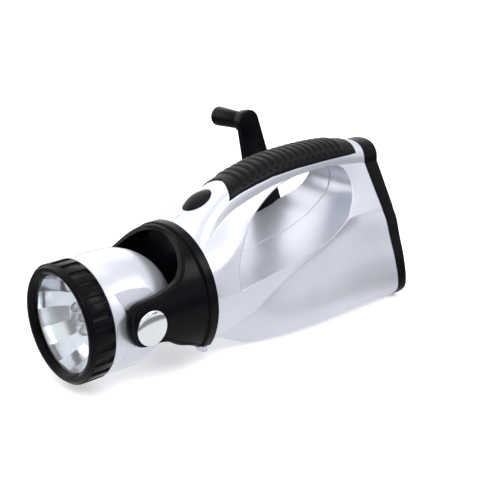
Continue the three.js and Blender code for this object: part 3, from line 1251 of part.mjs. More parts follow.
function addBattery() {
  const cell = revolveX([
    [0, 0], [0, CELL_RADIUS - CELL_TIP / 2], [CELL_TIP / 2, CELL_RADIUS],
    [CELL_LENGTH - CELL_TIP, CELL_RADIUS], [CELL_LENGTH - CELL_TIP, CELL_TIP_RADIUS],
    [CELL_LENGTH, CELL_TIP_RADIUS], [CELL_LENGTH, 0],
  ]);
  cellPlaces().forEach(([y, z], k) => {
    const mesh = addSolid(`battery_cell_${k + 1}`, solid(cell), cellSleeve);
    mesh.position.set(CELL_FRONT, y, z);
  });
  const [[nearY, lowZ], [farY]] = cellPlaces();
  const x0 = CELL_FRONT + (CELL_LENGTH - CRADLE_LENGTH) / 2;
  const floorZ = lowZ - CELL_RADIUS - FIT_GAP;
  const edge = CELL_RADIUS * cradleSideShare;
  const y0 = nearY - edge;
  const y1 = farY + CELL_RADIUS + CRADLE_EDGE;
  let cradle = box(x0, x0 + CRADLE_LENGTH, y0, y1, floorZ - CRADLE_FLOOR, floorZ + edge);
  for (const [y, z] of cellPlaces()) {
    cradle = cradle.subtract(cylinderX(CELL_RADIUS + FIT_GAP, 0, BODY_LENGTH, y, z));
  }
  const from = (CELL_FRONT - OVERRUN) / BODY_LENGTH;
  const inside = bodyForm(-WALL - FIT_GAP, from, 1, ROOM_RINGS, 1);
  addSolid('battery_cradle', cradle.intersect(inside), blackPlastic);
}

// Charging board and socket

function addCharger() {
  const x0 = CHARGE_BOARD_X;
  const x1 = x0 + CHARGE_BOARD_THICKNESS;
  const half = [CHARGE_BOARD_WIDTH / 2, CHARGE_BOARD_HEIGHT / 2];
  addSolid('charge_board', box(
    x0, x1, -half[0], half[0], CHARGE_BOARD_Z - half[1], CHARGE_BOARD_Z + half[1],
  ), greenBoard);
  const back = tail - SOCKET_RECESS;
  const block = box(
    x1 + SEAT_GAP, back, -SOCKET_WIDTH / 2, SOCKET_WIDTH / 2,
    CHARGE_BOARD_Z - SOCKET_HEIGHT / 2, CHARGE_BOARD_Z + SOCKET_HEIGHT / 2,
  );
  const bore = cylinderX(SOCKET_BORE_RADIUS, back - SOCKET_BORE_DEPTH, tail + OVERRUN, 0, CHARGE_BOARD_Z);
  const pinFoot = back - SOCKET_BORE_DEPTH - SEAT_GAP;
  const pin = cylinderX(SOCKET_PIN_RADIUS, pinFoot, back - SOCKET_PIN_RADIUS, 0, CHARGE_BOARD_Z, ROUND_SMALL);
  addSolid('dc_socket', block.subtract(bore).add(pin), blackPlastic);
}

addShells();
addShellScrews();
addGripPad();
addSwitch();
addRearCover();
addCoverScrews();
addYoke();
addPivots();
addHeadShell();
addBezel();
addOptics();
addLights();
addIdlers();
addGearbox();
addGenerator();
addCrankDrive();
addCrankArm();
addBattery();
addCharger();

export default torch;
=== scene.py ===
import logging
import math
from dataclasses import dataclass, field
from enum import Enum
from typing import Iterable, Optional, Sequence

import bmesh
import bpy
from mathutils import Matrix, Vector


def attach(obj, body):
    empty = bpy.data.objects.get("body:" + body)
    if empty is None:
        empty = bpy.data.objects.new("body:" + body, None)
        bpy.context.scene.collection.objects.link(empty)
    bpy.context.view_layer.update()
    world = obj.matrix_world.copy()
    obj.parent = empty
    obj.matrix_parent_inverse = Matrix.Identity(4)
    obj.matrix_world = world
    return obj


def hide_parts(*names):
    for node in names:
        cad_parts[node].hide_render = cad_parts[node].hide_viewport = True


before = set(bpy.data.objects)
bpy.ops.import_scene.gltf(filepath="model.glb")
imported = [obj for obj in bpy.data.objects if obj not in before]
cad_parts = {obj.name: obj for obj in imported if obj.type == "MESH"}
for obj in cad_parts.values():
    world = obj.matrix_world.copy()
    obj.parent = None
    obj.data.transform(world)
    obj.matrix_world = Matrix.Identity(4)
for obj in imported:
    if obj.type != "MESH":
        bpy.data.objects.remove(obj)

log = logging.getLogger("flashlight")

MM = 0.001
TAIL = 147.0  # mm from the collar's rear face to the flat tail, which is the frame's zero
OVERRUN = 5.0  # mm that a cutting tool runs past what it cuts
REACH = 120.0  # mm that a cutting tool reaches past the whole torch
SEAT_GAP = 0.15  # mm between a piece and its seat
FIT_GAP = 0.3  # mm between a piece and the hole round it
WALL = 2.2  # mm, the moulded wall of the shells, the collar and the head
GROUND = -34.5  # mm, height of what the torch stands on
PIVOT_X = -39.8  # mm, where the head tilts
FLAT_Y = 25.0  # mm to each side flat of the head
CABLE_HOLE = 4.0  # mm, radius of the wires' way from the body to the head
SPIGOT_RADIUS = 34.0  # mm, of the collar's foot inside the body
SPIGOT_LENGTH = 4.0
BOSS_RADIUS = 3.6  # mm round a screw
CRANK_X, CRANK_Z = 109.0, 2.0  # mm, the crank's axis

# Facets round turned shapes
PILLAR_STEPS = 24
PIN_STEPS = 32
BORE_STEPS = 48
HUB_STEPS = 64
BUTTON_STEPS = 96
SPIGOT_STEPS = 128
BEZEL_STEPS = 192

# Points to each span of a body section: for what shows, for what doesn't, and to measure along
FINE_SPAN = 5
COARSE_SPAN = 3
MEASURED_SPAN = 12

Point = tuple[float, float]
Ring = list[Vector]
Solid = bmesh.types.BMesh
Piece = bpy.types.Object


class Body(Enum):
    """The rigid bodies that pieces ride on."""

    BODY = "body"
    HEAD = "head"
    SWITCH = "switch"
    CRANK = "crank"
    KNOB = "knob"


class Cut(Enum):
    """How one solid acts on another."""

    REMOVE = "DIFFERENCE"
    JOIN = "UNION"
    KEEP = "INTERSECT"


# Colours and materials


def linear(hex_colour: str) -> tuple[float, float, float, float]:
    """Turns an sRGB hex colour into linear values.

    Args:
        hex_colour: Six hex digits after a hash.

    Returns:
        Red, green, blue and alpha from 0 to 1.
    """
    shares = [int(hex_colour[k : k + 2], 16) / 255 for k in (1, 3, 5)]
    red, green, blue = (
        s / 12.92 if s <= 0.04045 else ((s + 0.055) / 1.055) ** 2.4 for s in shares
    )
    return (red, green, blue, 1.0)


def empty_tree(owner: bpy.types.ID) -> bpy.types.NodeTree:
    """Turns on a material's or a world's nodes and clears them."""
    owner.use_nodes = True
    owner.node_tree.nodes.clear()
    return owner.node_tree


def add_node(
    tree: bpy.types.NodeTree, kind: str, settings: Optional[dict] = None, links: Optional[dict] = None
) -> bpy.types.Node:
    """Adds a node to a tree.

    Args:
        tree: The tree that gets the node.
        kind: The node's type without its ShaderNode prefix.
        settings: Values for its properties and its input sockets.
        links: Output sockets for its input sockets.

    Returns:
        The new node.
    """
    node = tree.nodes.new("ShaderNode" + kind)
    for name, value in (settings or {}).items():
        if isinstance(name, str) and name in node.bl_rna.properties:
            setattr(node, name, value)
        else:
            node.inputs[name].default_value = value
    for name, socket in (links or {}).items():
        tree.links.new(socket, node.inputs[name])
    return node


def mapped(
    tree: bpy.types.NodeTree, value: bpy.types.NodeSocket, source: Point, target: Point, kind: str = "LINEAR"
) -> bpy.types.NodeSocket:
    """A value as it is mapped from one range to another."""
    ends = dict(zip(("From Min", "From Max", "To Min", "To Max"), (*source, *target)))
    return add_node(tree, "MapRange", {"interpolation_type": kind, **ends}, {"Value": value}).outputs["Result"]


@dataclass(frozen=True)
class Finish:
    """A surface finish: a principled shader whose tone and bump vary in two sizes of noise."""

    name: str
    slot: str
    colour: str
    second_colour: str
    roughness: float
    metallic: float = 0.0
    ior: float = 1.5
    specular: float = 0.5
    edge_mm: float = 0.0  # radius that light sees on sharp edges
    cloud_mm: float = 20.0  # size of the soft tone change
    cloud_share: float = 0.5  # how much of the second colour the clouds bring
    grain_mm: float = 0.6  # size of the surface grain
    grain_share: float = 0.0  # how much of the second colour single grains bring
    grain_depth_mm: float = 0.0
    roughness_spread: float = 0.05
    coat: float = 0.0
    coat_roughness: float = 0.05
    transmission: float = 0.0

    def build(self) -> bpy.types.Material:
        """Makes the material."""
        material = bpy.data.materials.new(self.name)
        tree = empty_tree(material)
        place = add_node(tree, "TexCoord").outputs["Object"]
        clouds, grain = (
            add_node(
                tree, "TexNoise", {"Scale": 1 / (size * MM), "Detail": detail, "Roughness": rough}, {"Vector": place}
            ).outputs["Fac"]
            for size, detail, rough in ((self.cloud_mm, 3.0, 0.55), (self.grain_mm, 2.0, 0.6))
        )
        share = mapped(tree, clouds, (0.35, 0.65), (0.0, self.cloud_share))
        if self.grain_share:
            flecks = mapped(tree, grain, (0.45, 0.6), (0.0, self.grain_share))
            share = add_node(tree, "Math", {"operation": "ADD"}, {0: share, 1: flecks}).outputs["Value"]
        colours = {"data_type": "RGBA", 6: linear(self.colour), 7: linear(self.second_colour)}
        tone = add_node(tree, "Mix", colours, {0: share}).outputs[2]
        low, high = max(self.roughness - self.roughness_spread, 0.0), self.roughness + self.roughness_spread
        rough = mapped(tree, grain, (0.3, 0.7), (low, high))
        settings = {
            "Metallic": self.metallic, "IOR": self.ior, "Specular IOR Level": self.specular, "Coat Weight": self.coat,
            "Coat Roughness": self.coat_roughness, "Transmission Weight": self.transmission,
        }
        shader = add_node(tree, "BsdfPrincipled", settings, {"Base Color": tone, "Roughness": rough})
        normal = None
        if self.edge_mm:
            normal = add_node(tree, "Bevel", {"samples": 6, "Radius": self.edge_mm * MM}).outputs["Normal"]
        if self.grain_depth_mm:
            links = {"Height": grain} if normal is None else {"Height": grain, "Normal": normal}
            bump = add_node(tree, "Bump", {"Strength": 1.0, "Distance": self.grain_depth_mm * MM}, links)
            normal = bump.outputs["Normal"]
        if normal is not None:
            tree.links.new(normal, shader.inputs["Normal"])
        add_node(tree, "OutputMaterial", links={"Surface": shader.outputs["BSDF"]})
        return material


# Moulded ABS with sprayed metallic lacquer under a clear one: a soft, slightly blue sheen of fine flakes
SILVER_LACQUER = Finish(
    "silver lacquered ABS", "silver_paint", "#d6d9e3", "#c9cdd9", 0.36, metallic=0.7, edge_mm=0.9, cloud_mm=35,
    grain_mm=0.35, grain_share=0.25, grain_depth_mm=0.002, roughness_spread=0.06, coat=0.3, coat_roughness=0.16,
)
# ABS moulded against a lightly polished tool: deep black with a satin sheen
SATIN_ABS = Finish(
    "satin black ABS", "black_plastic", "#040509", "#07080d", 0.25, ior=1.46, specular=0.1, edge_mm=0.35,
    cloud_mm=18, grain_mm=0.5, grain_depth_mm=0.004, roughness_spread=0.05,
)
# Soft rubber moulded against an etched tool: dull, with a fine skin-like grain
MOULDED_RUBBER = Finish(
    "moulded black rubber", "black_rubber", "#04060a", "#080a10", 0.38, ior=1.5, specular=0.13, cloud_mm=9,
    grain_mm=0.45, grain_depth_mm=0.015, roughness_spread=0.1,
)
# Bright nickel and chrome over polished ABS
CHROME_PLATE = Finish(
    "chrome plate", "chrome", "#e4e6ea", "#d9dce2", 0.05, metallic=1.0, grain_mm=1.2, roughness_spread=0.03,
)
# Aluminium evaporated in vacuum onto a smooth moulded dish
VACUUM_ALUMINIUM = Finish(
    "vacuum-metallised dish", "mirror_coat", "#e9ecf2", "#dfe3ea", 0.09, metallic=1.0, grain_mm=0.9,
    roughness_spread=0.04,
)
# Clear acrylic, moulded and polished
CLEAR_ACRYLIC = Finish(
    "clear acrylic", "clear_plastic", "#fbfdff", "#f4f8fc", 0.02, ior=1.49, grain_mm=2.0, roughness_spread=0.015,
    transmission=1.0,
)
# Cast epoxy of a lamp, slightly milky
LAMP_EPOXY = Finish(
    "lamp epoxy", "clear_plastic", "#f3f7fc", "#e8eef6", 0.06, ior=1.5, cloud_mm=2, grain_mm=0.8,
    roughness_spread=0.03, transmission=0.85,
)
# Bright zinc on cold-headed steel
ZINC_STEEL = Finish(
    "zinc-plated steel", "steel", "#aeb0b4", "#9a9da3", 0.28, metallic=1.0, cloud_mm=3, grain_mm=0.25,
    grain_depth_mm=0.004, roughness_spread=0.1,
)
# Turned brass of a plain bush
TURNED_BRASS = Finish(
    "turned brass", "brass", "#b5924c", "#a07e3d", 0.3, metallic=1.0, cloud_mm=4, grain_mm=0.2, grain_depth_mm=0.004,
)
# Enamelled copper wire wound on a former
ENAMELLED_COPPER = Finish(
    "enamelled copper wire", "copper", "#a3532a", "#7f3d1e", 0.35, metallic=0.9, cloud_mm=3, grain_mm=0.4,
    grain_depth_mm=0.05, coat=0.5,
)
# Unfilled nylon of the gears: milky and slightly waxy
NATURAL_NYLON = Finish(
    "natural nylon", "white_nylon", "#e4e1d6", "#d8d4c6", 0.42, ior=1.53, cloud_mm=6, grain_mm=0.4,
    grain_depth_mm=0.01,
)
# Glass-fibre board under green lacquer, with the weave just showing
LACQUERED_BOARD = Finish(
    "lacquered circuit board", "green_board", "#1c5a3c", "#16462f", 0.35, cloud_mm=2.5, grain_mm=0.35,
    grain_depth_mm=0.02, coat=0.4,
)
# The same board under white lacquer, which hides the weave
WHITE_BOARD = Finish(
    "white circuit board", "green_board", "#e4e7ea", "#d6dade", 0.4, cloud_mm=4, grain_mm=0.5,
    grain_depth_mm=0.01, coat=0.3,
)
# Heat-shrunk plastic film over a cell
SHRUNK_FILM = Finish(
    "shrunk plastic film", "cell_sleeve", "#2a5d9c", "#1f4b84", 0.3, cloud_mm=12, grain_mm=1.5,
    grain_depth_mm=0.02, coat=0.3,
)

SLOT_FINISHES = {
    finish.slot: finish
    for finish in (
        SILVER_LACQUER, SATIN_ABS, MOULDED_RUBBER, CHROME_PLATE, VACUUM_ALUMINIUM, CLEAR_ACRYLIC, ZINC_STEEL,
        TURNED_BRASS, ENAMELLED_COPPER, NATURAL_NYLON, LACQUERED_BOARD, SHRUNK_FILM,
    )
}
MATERIALS: dict[str, bpy.types.Material] = {}


def material_of(finish: Finish) -> bpy.types.Material:
    """Returns a finish's material, made on first use."""
    if finish.name not in MATERIALS:
        MATERIALS[finish.name] = finish.build()
    return MATERIALS[finish.name]


# Shapes


def spot(x: float, y: float, z: float) -> Vector:
    """A point given in mm from the collar's rear face, in the frame's metres."""
    return Vector(((x - TAIL) * MM, y * MM, z * MM))


def slice_at(x: float, outline: Sequence[Point]) -> Ring:
    """An outline of [y, z] points in mm as a ring across the torch at x."""
    return [spot(x, y, z) for y, z in outline]


ORIGIN = spot(0, 0, 0)
PIVOT = spot(PIVOT_X, 0, 0)
HUB = spot(CRANK_X, 0, CRANK_Z)


def as_object(name: str, bm: Solid) -> Piece:
    """Makes an object of a finished bmesh and frees it."""
    mesh = bpy.data.meshes.new(name)
    bm.to_mesh(mesh)
    bm.free()
    made = bpy.data.objects.new(name, mesh)
    bpy.context.scene.collection.objects.link(made)
    return made


def outward(bm: Solid) -> Solid:
    """Merges doubles and turns the faces of a closed bmesh outwards."""
    bmesh.ops.remove_doubles(bm, verts=bm.verts, dist=1e-7)
    bmesh.ops.recalc_face_normals(bm, faces=bm.faces)
    return bm


def next_ring(bm: Solid, ring: list, places: Sequence[Vector]) -> list:
    """Extrudes a ring of vertices and moves the new ring onto its places.

    Args:
        bm: The mesh.
        ring: The vertices of the last ring, in order.
        places: Where the new vertices go, in the same order.

    Returns:
        The new vertices, in order.
    """
    count = len(ring)
    edges = [bm.edges.get((ring[k], ring[(k + 1) % count])) for k in range(count)]
    made = bmesh.ops.extrude_edge_only(bm, edges=edges)["geom"]
    fresh = {v for v in made if isinstance(v, bmesh.types.BMVert)}
    moved = []
    for old, place in zip(ring, places):
        new = next(e.other_vert(old) for e in old.link_edges if e.other_vert(old) in fresh)
        new.co = place
        moved.append(new)
    return moved


def loft(rings: Sequence[Ring]) -> Solid:
    """Joins rings of points into a closed solid with flat ends."""
    bm = bmesh.new()
    first = bmesh.ops.create_circle(bm, segments=len(rings[0]), radius=MM)["verts"]
    ring = list(first)
    for vertex, place in zip(ring, rings[0]):
        vertex.co = place
    start = [bm.edges.get((ring[k - 1], ring[k])) for k in range(len(ring))]
    for places in rings[1:]:
        ring = next_ring(bm, ring, places)
    end = [bm.edges.get((ring[k - 1], ring[k])) for k in range(len(ring))]
    bmesh.ops.contextual_create(bm, geom=start)
    bmesh.ops.contextual_create(bm, geom=end)
    return outward(bm)


def prism(outline: Sequence[Point], low: float = -REACH, high: float = REACH) -> Solid:
    """A side view of [x, z] points in mm, extruded across the torch from low to high."""
    return loft([[spot(x, y, z) for x, z in outline] for y in (low, high)])


def block(x: Point, y: Point, z: Point) -> Solid:
    """A box between two places along each axis, in mm."""
    corners = [(x[0], z[0]), (x[1], z[0]), (x[1], z[1]), (x[0], z[1])]
    return prism(corners, y[0], y[1])


def cube(size: Sequence[float]) -> Solid:
    """A box of a size in mm, with its middle at the frame's zero."""
    bm = bmesh.new()
    bmesh.ops.create_cube(bm, size=MM)
    bmesh.ops.scale(bm, vec=size, verts=bm.verts)
    return bm


def swung(bm: Solid, turn: float, axis: str, place: Vector) -> Solid:
    """Turns a solid round an axis through the frame's zero, then moves it by a place."""
    bmesh.ops.rotate(bm, cent=(0, 0, 0), matrix=Matrix.Rotation(turn, 3, axis), verts=bm.verts)
    bmesh.ops.translate(bm, vec=place, verts=bm.verts)
    return bm


def turned(
    profile: Sequence[Point], steps: int, axis: str = "X", centre: Vector = ORIGIN, ring: bool = False
) -> Solid:
    """Spins a profile into a closed solid.

    Args:
        profile: Points of [place along the axis, radius] in mm.
        steps: Facets round the axis.
        axis: "X" or "Y".
        centre: The axis's zero, in the frame.
        ring: Whether the profile closes on itself.

    Returns:
        The solid.
    """
    bm = bmesh.new()
    direction = Vector((1, 0, 0)) if axis == "X" else Vector((0, 1, 0))
    verts = [bm.verts.new(centre + (direction * a + Vector((0, 0, r))) * MM) for a, r in profile]
    pairs = list(zip(verts, verts[1:])) + ([(verts[-1], verts[0])] if ring else [])
    edges = [bm.edges.new(pair) for pair in pairs]
    bmesh.ops.spin(
        bm, geom=verts + edges, cent=centre, axis=direction, angle=2 * math.pi, steps=steps, use_merge=True
    )
    return outward(bm)


def joined(parts: Iterable[Solid]) -> Solid:
    """Puts several separate solids into one bmesh."""
    whole = bmesh.new()
    for part in parts:
        mesh = bpy.data.meshes.new("part")
        part.to_mesh(mesh)
        part.free()
        whole.from_mesh(mesh)
        bpy.data.meshes.remove(mesh)
    return whole


def with_modifiers_applied(piece: Piece) -> None:
    """Gives a piece the mesh that its modifiers make, and removes them."""
    graph = bpy.context.evaluated_depsgraph_get()
    graph.update()
    mesh = bpy.data.meshes.new_from_object(piece.evaluated_get(graph))
    piece.modifiers.clear()
    old = piece.data
    piece.data = mesh
    bpy.data.meshes.remove(old)


def cut(piece: Piece, tool: Solid, how: Cut = Cut.REMOVE) -> Piece:
    """Cuts, joins or keeps a piece with a solid, and drops the solid."""
    helper = as_object("tool", tool)
    modifier = piece.modifiers.new("cut", "BOOLEAN")
    modifier.solver = "MANIFOLD"
    modifier.operation = how.value
    modifier.object = helper
    with_modifiers_applied(piece)
    bpy.data.objects.remove(helper, do_unlink=True)
    return piece


def mesh_of(piece: Piece) -> Solid:
    """A piece's mesh as a bmesh."""
    bm = bmesh.new()
    bm.from_mesh(piece.data)
    return bm


def combined(solid: Solid, tool: Solid, how: Cut = Cut.REMOVE) -> Solid:
    """Cuts, joins or keeps one solid with another, and returns what that leaves."""
    helper = cut(as_object("solid", solid), tool, how)
    bm = mesh_of(helper)
    bpy.data.objects.remove(helper, do_unlink=True)
    return bm


def copied(piece: Piece, name: str) -> Piece:
    """A copy of a piece, with a mesh of its own."""
    return as_object(name, mesh_of(piece))


def stepped(start: float, *steps: Point) -> list[Point]:
    """The profile of a round bar whose steps are each a radius and the place up to which it goes."""
    profile = [(start, 0.0)]
    for radius, end in steps:
        profile += [(start, radius), (end, radius)]
        start = end
    return [*profile, (start, 0.0)]


def bar(low: float, high: float, radius: float) -> list[Point]:
    """The profile of a plain round bar between two places."""
    return stepped(low, (radius, high))


def on_side(side: int, low: float, high: float) -> Point:
    """Two distances across the torch as places on its near (-1) or far (1) side, the lower first."""
    return (side * low, side * high) if side > 0 else (side * high, side * low)


def eased(x: float, radius: float, size: float, bow: float) -> list[Point]:
    """Three points that ease a profile's corner, which is met along x; a negative size turns it round."""
    step = math.copysign(bow, size)
    return [(x, radius - abs(size)), (x + step, radius - bow), (x + size, radius)]


def quarter(steps: int) -> list[Point]:
    """Sines and cosines of even turns over a quarter circle."""
    return [(math.sin(t), math.cos(t)) for t in (math.pi / 2 * k / steps for k in range(steps + 1))]


def rounded(piece: Piece, width: float, segments: int = 2, angle: float = 35.0) -> Piece:
    """Rounds a piece's sharp edges by a width in mm."""
    bevel = piece.modifiers.new("round", "BEVEL")
    bevel.width = width * MM
    bevel.segments = segments
    bevel.limit_method = "ANGLE"
    bevel.angle_limit = math.radians(angle)
    bevel.miter_outer = "MITER_ARC"
    with_modifiers_applied(piece)
    return piece


def finished(piece: Piece, finish: Finish, body: Body, node: str, sharp: float = 32.0) -> Piece:
    """Finishes a piece.

    Args:
        piece: The piece.
        finish: What it is made of.
        body: What it rides on.
        node: The solid it stands for.
        sharp: Degrees above which an edge isn't shaded smooth.

    Returns:
        The same piece.
    """
    piece.data.shade_smooth()
    piece.data.set_sharp_from_angle(angle=math.radians(sharp))
    piece.data.materials.clear()
    piece.data.materials.append(material_of(finish))
    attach(piece, body.value)
    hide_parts(node)
    log.info("%s: %d faces, rides on %s", piece.name, len(piece.data.polygons), body.value)
    return piece


def spline(points: Sequence[Point], steps: int) -> list[Point]:
    """An even Catmull-Rom curve through points, with a number of steps to each span."""
    made = []
    last = len(points) - 1
    for k in range(last):
        four = [points[max(k - 1, 0)], points[k], points[k + 1], points[min(k + 2, last)]]
        for n in range(steps):
            t = n / steps
            made.append(tuple(catmull(t, *(p[c] for p in four)) for c in (0, 1)))
    return made + [tuple(points[-1])]


def catmull(t: float, a: float, b: float, c: float, d: float) -> float:
    """One coordinate of a Catmull-Rom span from b to c."""
    start, end = (c - a) / 2, (d - b) / 2
    return (2 * b - 2 * c + start + end) * t**3 + (3 * c - 3 * b - 2 * start - end) * t**2 + start * t + b


def mix(a: float, b: float, share: float) -> float:
    """The value a share of the way from a to b."""
    return a + (b - a) * share


def offset_outline(points: Sequence[Point], distance: float) -> list[Point]:
    """Moves each point of a closed outline outwards by a distance."""
    count = len(points)
    area = sum(
        points[k][0] * points[(k + 1) % count][1] - points[(k + 1) % count][0] * points[k][1] for k in range(count)
    )
    side = distance if area > 0 else -distance
    moved = []
    for k, (x, z) in enumerate(points):
        before, after = Vector(points[k - 1]), Vector(points[(k + 1) % count])
        here = Vector((x, z))
        into, out = (here - before).normalized(), (after - here).normalized()
        along = (into + out).normalized()
        spread = max(along.dot(out), 0.5)
        moved.append((x + along.y * side / spread, z - along.x * side / spread))
    return moved


def circle_points(radius: float, centre: Point, count: int) -> list[Point]:
    """Points round a circle."""
    angles = [2 * math.pi * k / count for k in range(count)]
    return [(centre[0] + radius * math.cos(angle), centre[1] + radius * math.sin(angle)) for angle in angles]


def hull_outline(circles: Sequence[tuple[float, float, float]], count: int) -> list[Point]:
    """The outline round a set of circles of [x, z, radius], as their convex hull."""
    on_circles = [Vector(point) for x, z, radius in circles for point in circle_points(radius, (x, z), count)]
    points = sorted({(round(point.x, 5), round(point.y, 5)) for point in on_circles})

    def half(line: Sequence[Point]) -> list[Point]:
        """One side of the hull."""
        chain: list[Point] = []
        for p in line:
            while len(chain) > 1:
                a, b = chain[-2:]
                if (b[0] - a[0]) * (p[1] - a[1]) > (b[1] - a[1]) * (p[0] - a[0]):
                    break
                chain.pop()
            chain.append(p)
        return chain[:-1]

    return half(points) + half(points[::-1])


# Body form


@dataclass(frozen=True)
class FormLine:
    """Some corners of the rear outline, and how each leaves the front circle along the body."""

    corners: tuple[Point, ...]
    half_width: float
    rise: tuple[float, ...]
    narrow: tuple[float, ...]


HANDLE_HALF_WIDTH = 12.4
REAR_HALF_WIDTH = 38.0
FORM_LINES = (
    FormLine(
        ((0, 1), (0.49, 0.985), (0.81, 0.94), (0.98, 0.87), (1, 0.79)), HANDLE_HALF_WIDTH,
        (0, 0.33, 0.64, 0.86, 1.09, 1.17, 1.18, 1.12, 1), (0, 0.57, 0.85, 0.92, 0.95, 0.97, 1, 1, 1),
    ),
    FormLine(
        ((0.435, 0.657), (0.553, 0.51)), REAR_HALF_WIDTH,
        (0, 0.2, 0.5, 0.74, 0.95, 1.08, 1.06, 1.03, 1), (0, 0.17, 0.5, 0.84, 0.86, 0.88, 0.95, 0.98, 1),
    ),
    FormLine(
        ((0.674, 0.355),), REAR_HALF_WIDTH,
        (0, 0.05, 0.13, 0.23, 0.43, 0.63, 1.08, 1.05, 1), (0, 0, 0.02, 0.05, 0.12, 0.27, 0.7, 0.91, 1),
    ),
    FormLine(
        ((0.682, 0.341),), REAR_HALF_WIDTH,
        (0, 0.06, 0.17, 0.36, 0.58, 0.76, 1.06, 1.03, 1), (0, 0, 0.02, 0.06, 0.16, 0.3, 0.7, 0.91, 1),
    ),
    FormLine(
        ((0.69, 0.327),), REAR_HALF_WIDTH,
        (0, 0.1, 0.22, 0.42, 0.65, 0.82, 1.04, 1.02, 1), (0, -0.48, -0.6, -0.6, -0.46, -0.3, 0.43, 0.8, 1),
    ),
    FormLine(
        (
            (0.765, 0.23), (0.84, 0.05), (0.93, -0.24), (0.995, -0.62), (0.955, -0.85), (0.71, -0.985), (0, -1),
        ),
        REAR_HALF_WIDTH,
        (0, 0.18, 0.37, 0.57, 0.8, 0.95, 1.07, 1.05, 1), (0, 0.22, 0.5, 0.75, 0.94, 1.01, 1.02, 1.01, 1),
    ),
)


@dataclass(frozen=True)
class BodyForm:
    """The torch's body as cross-sections that run from a circle at the collar to the broad rear."""

    length: float = 140.0
    barrel_radius: float = 36.5
    rear_top: float = 57.8
    rear_drop: float = 34.4
    shoulder: int = 4  # the corner where the handle's crown meets the flank
    ridge: int = 7
    crease: int = 9
    stations: tuple[float, ...] = (0, 0.1, 0.2, 0.3, 0.45, 0.6, 0.75, 0.87, 1)
    turns: tuple[float, ...] = (
        0, 0.067, 0.128, 0.185, 0.253, 0.322, 0.397, 0.465, 0.564, 0.679,
        0.714, 0.76, 0.81, 0.86, 0.907, 0.953, 1,
    )

    def along(self, row: Sequence[float], share: float) -> float:
        """Reads a row of shares between its stations as a smooth curve."""
        last = len(self.stations) - 2
        k = next((n for n in range(last) if share <= self.stations[n + 1]), last)

        def slope(n: int) -> float:
            """The curve's slope at a station."""
            low, high = max(n - 1, 0), min(n + 1, last + 1)
            return (row[high] - row[low]) / (self.stations[high] - self.stations[low])

        span = self.stations[k + 1] - self.stations[k]
        t = (share - self.stations[k]) / span
        level = row[k] * (1 + 2 * t) * (1 - t) ** 2 + row[k + 1] * t * t * (3 - 2 * t)
        return level + span * (slope(k) * t * (1 - t) ** 2 - slope(k + 1) * t * t * (1 - t))

    def half(self, share: float) -> list[Point]:
        """The corners of half a section, from the top round to the bottom."""
        made = []
        for line in FORM_LINES:
            out, up = self.along(line.narrow, share), self.along(line.rise, share)
            for y, z in line.corners:
                turn = math.pi * self.turns[len(made)]
                rear_z = z * (self.rear_top if z > 0 else self.rear_drop)
                made.append((
                    mix(self.barrel_radius * math.sin(turn), y * line.half_width, out),
                    mix(self.barrel_radius * math.cos(turn), rear_z, up),
                ))
        return made

    def section(self, share: float, steps: int) -> list[Point]:
        """A whole section: crown, flank and bulge are smooth, ridge and crease stay sharp."""
        half = self.half(min(max(share, 0.0), 1.0))

        def mirrored(points: Sequence[Point]) -> list[Point]:
            """The same points on the near side, in reverse."""
            return [(-y, z) for y, z in reversed(points)]

        crown = half[: self.shoulder + 1]
        flank = spline(half[self.shoulder : self.ridge + 1], steps)
        wedge = half[self.ridge : self.crease + 1]
        bulge = half[self.crease :]
        top = spline([*mirrored(crown), *crown[1:]], steps)
        bottom = spline([*bulge, *mirrored(bulge)[1:]], steps)
        parts = [top, flank, wedge, bottom, mirrored(wedge), mirrored(flank)]
        return [point for part in parts for point in part[:-1]]

    def ring(self, x: float, grow: float, steps: int) -> Ring:
        """A section at a place along the body, grown by a distance, in the frame."""
        return slice_at(x, offset_outline(self.section(x / self.length, steps), grow))

    def solid(self, grow: float, start: float, end: float, rings: int, steps: int) -> Solid:
        """The form between two places along the body.

        Args:
            grow: How far it is grown, in mm.
            start: The first place, in mm from the collar.
            end: The last place.
            rings: How many sections it has.
            steps: Points to each span of a section.

        Returns:
            A closed solid.
        """
        places = [mix(start, end, k / (rings - 1)) for k in range(rings)]
        return loft([self.ring(x, grow, steps) for x in places])

    def crest(self, x: float) -> float:
        """Height of the body's crest at a place along it."""
        return self.half(x / self.length)[0][1]


FORM = BodyForm()


@dataclass
class Opening:
    """The hole under the handle, as a side view."""

    tip_x: float = 15.7
    tip_z: float = 4.2
    length: float = 103.0
    height: float = 45.4
    steps: int = 5
    shares: tuple[Point, ...] = (
        (0, 0), (0.13, 0.044), (0.273, 0.08), (0.43, 0.138), (0.644, 0.217), (0.79, 0.317), (0.877, 0.42),
        (0.964, 0.56), (0.998, 0.71), (0.992, 0.86), (0.955, 0.96), (0.87, 0.998), (0.73, 1), (0.59, 0.984),
        (0.459, 0.918), (0.37, 0.83), (0.285, 0.72), (0.197, 0.595), (0.117, 0.463), (0.058, 0.317),
        (0.02, 0.176),
    )

    def solid(self, grow: float) -> Solid:
        """The opening as a bar right across the torch, grown by a distance."""
        corners = [(self.tip_x + a * self.length, self.tip_z + b * self.height) for a, b in self.shares]
        return prism(offset_outline(spline([*corners, corners[0]], self.steps)[:-1], grow))


@dataclass
class Chin:
    """The underside in front: flat behind and across the collar, then sloping down to the bulge."""

    drop: float = 22.5
    length: float = 8.0
    slope: float = 0.48

    def solid(self, grow: float) -> Solid:
        """What is cut away below it, grown by a distance."""
        end = self.length + (REACH - self.drop) / self.slope
        outline = [(-REACH, -REACH), (end, -REACH), (self.length, -self.drop), (-REACH, -self.drop)]
        return prism(offset_outline(outline, grow))


CHIN = Chin()
SEAM_LEAN = 5.2  # mm by which the rear seam lies further forward at the top than at the bottom


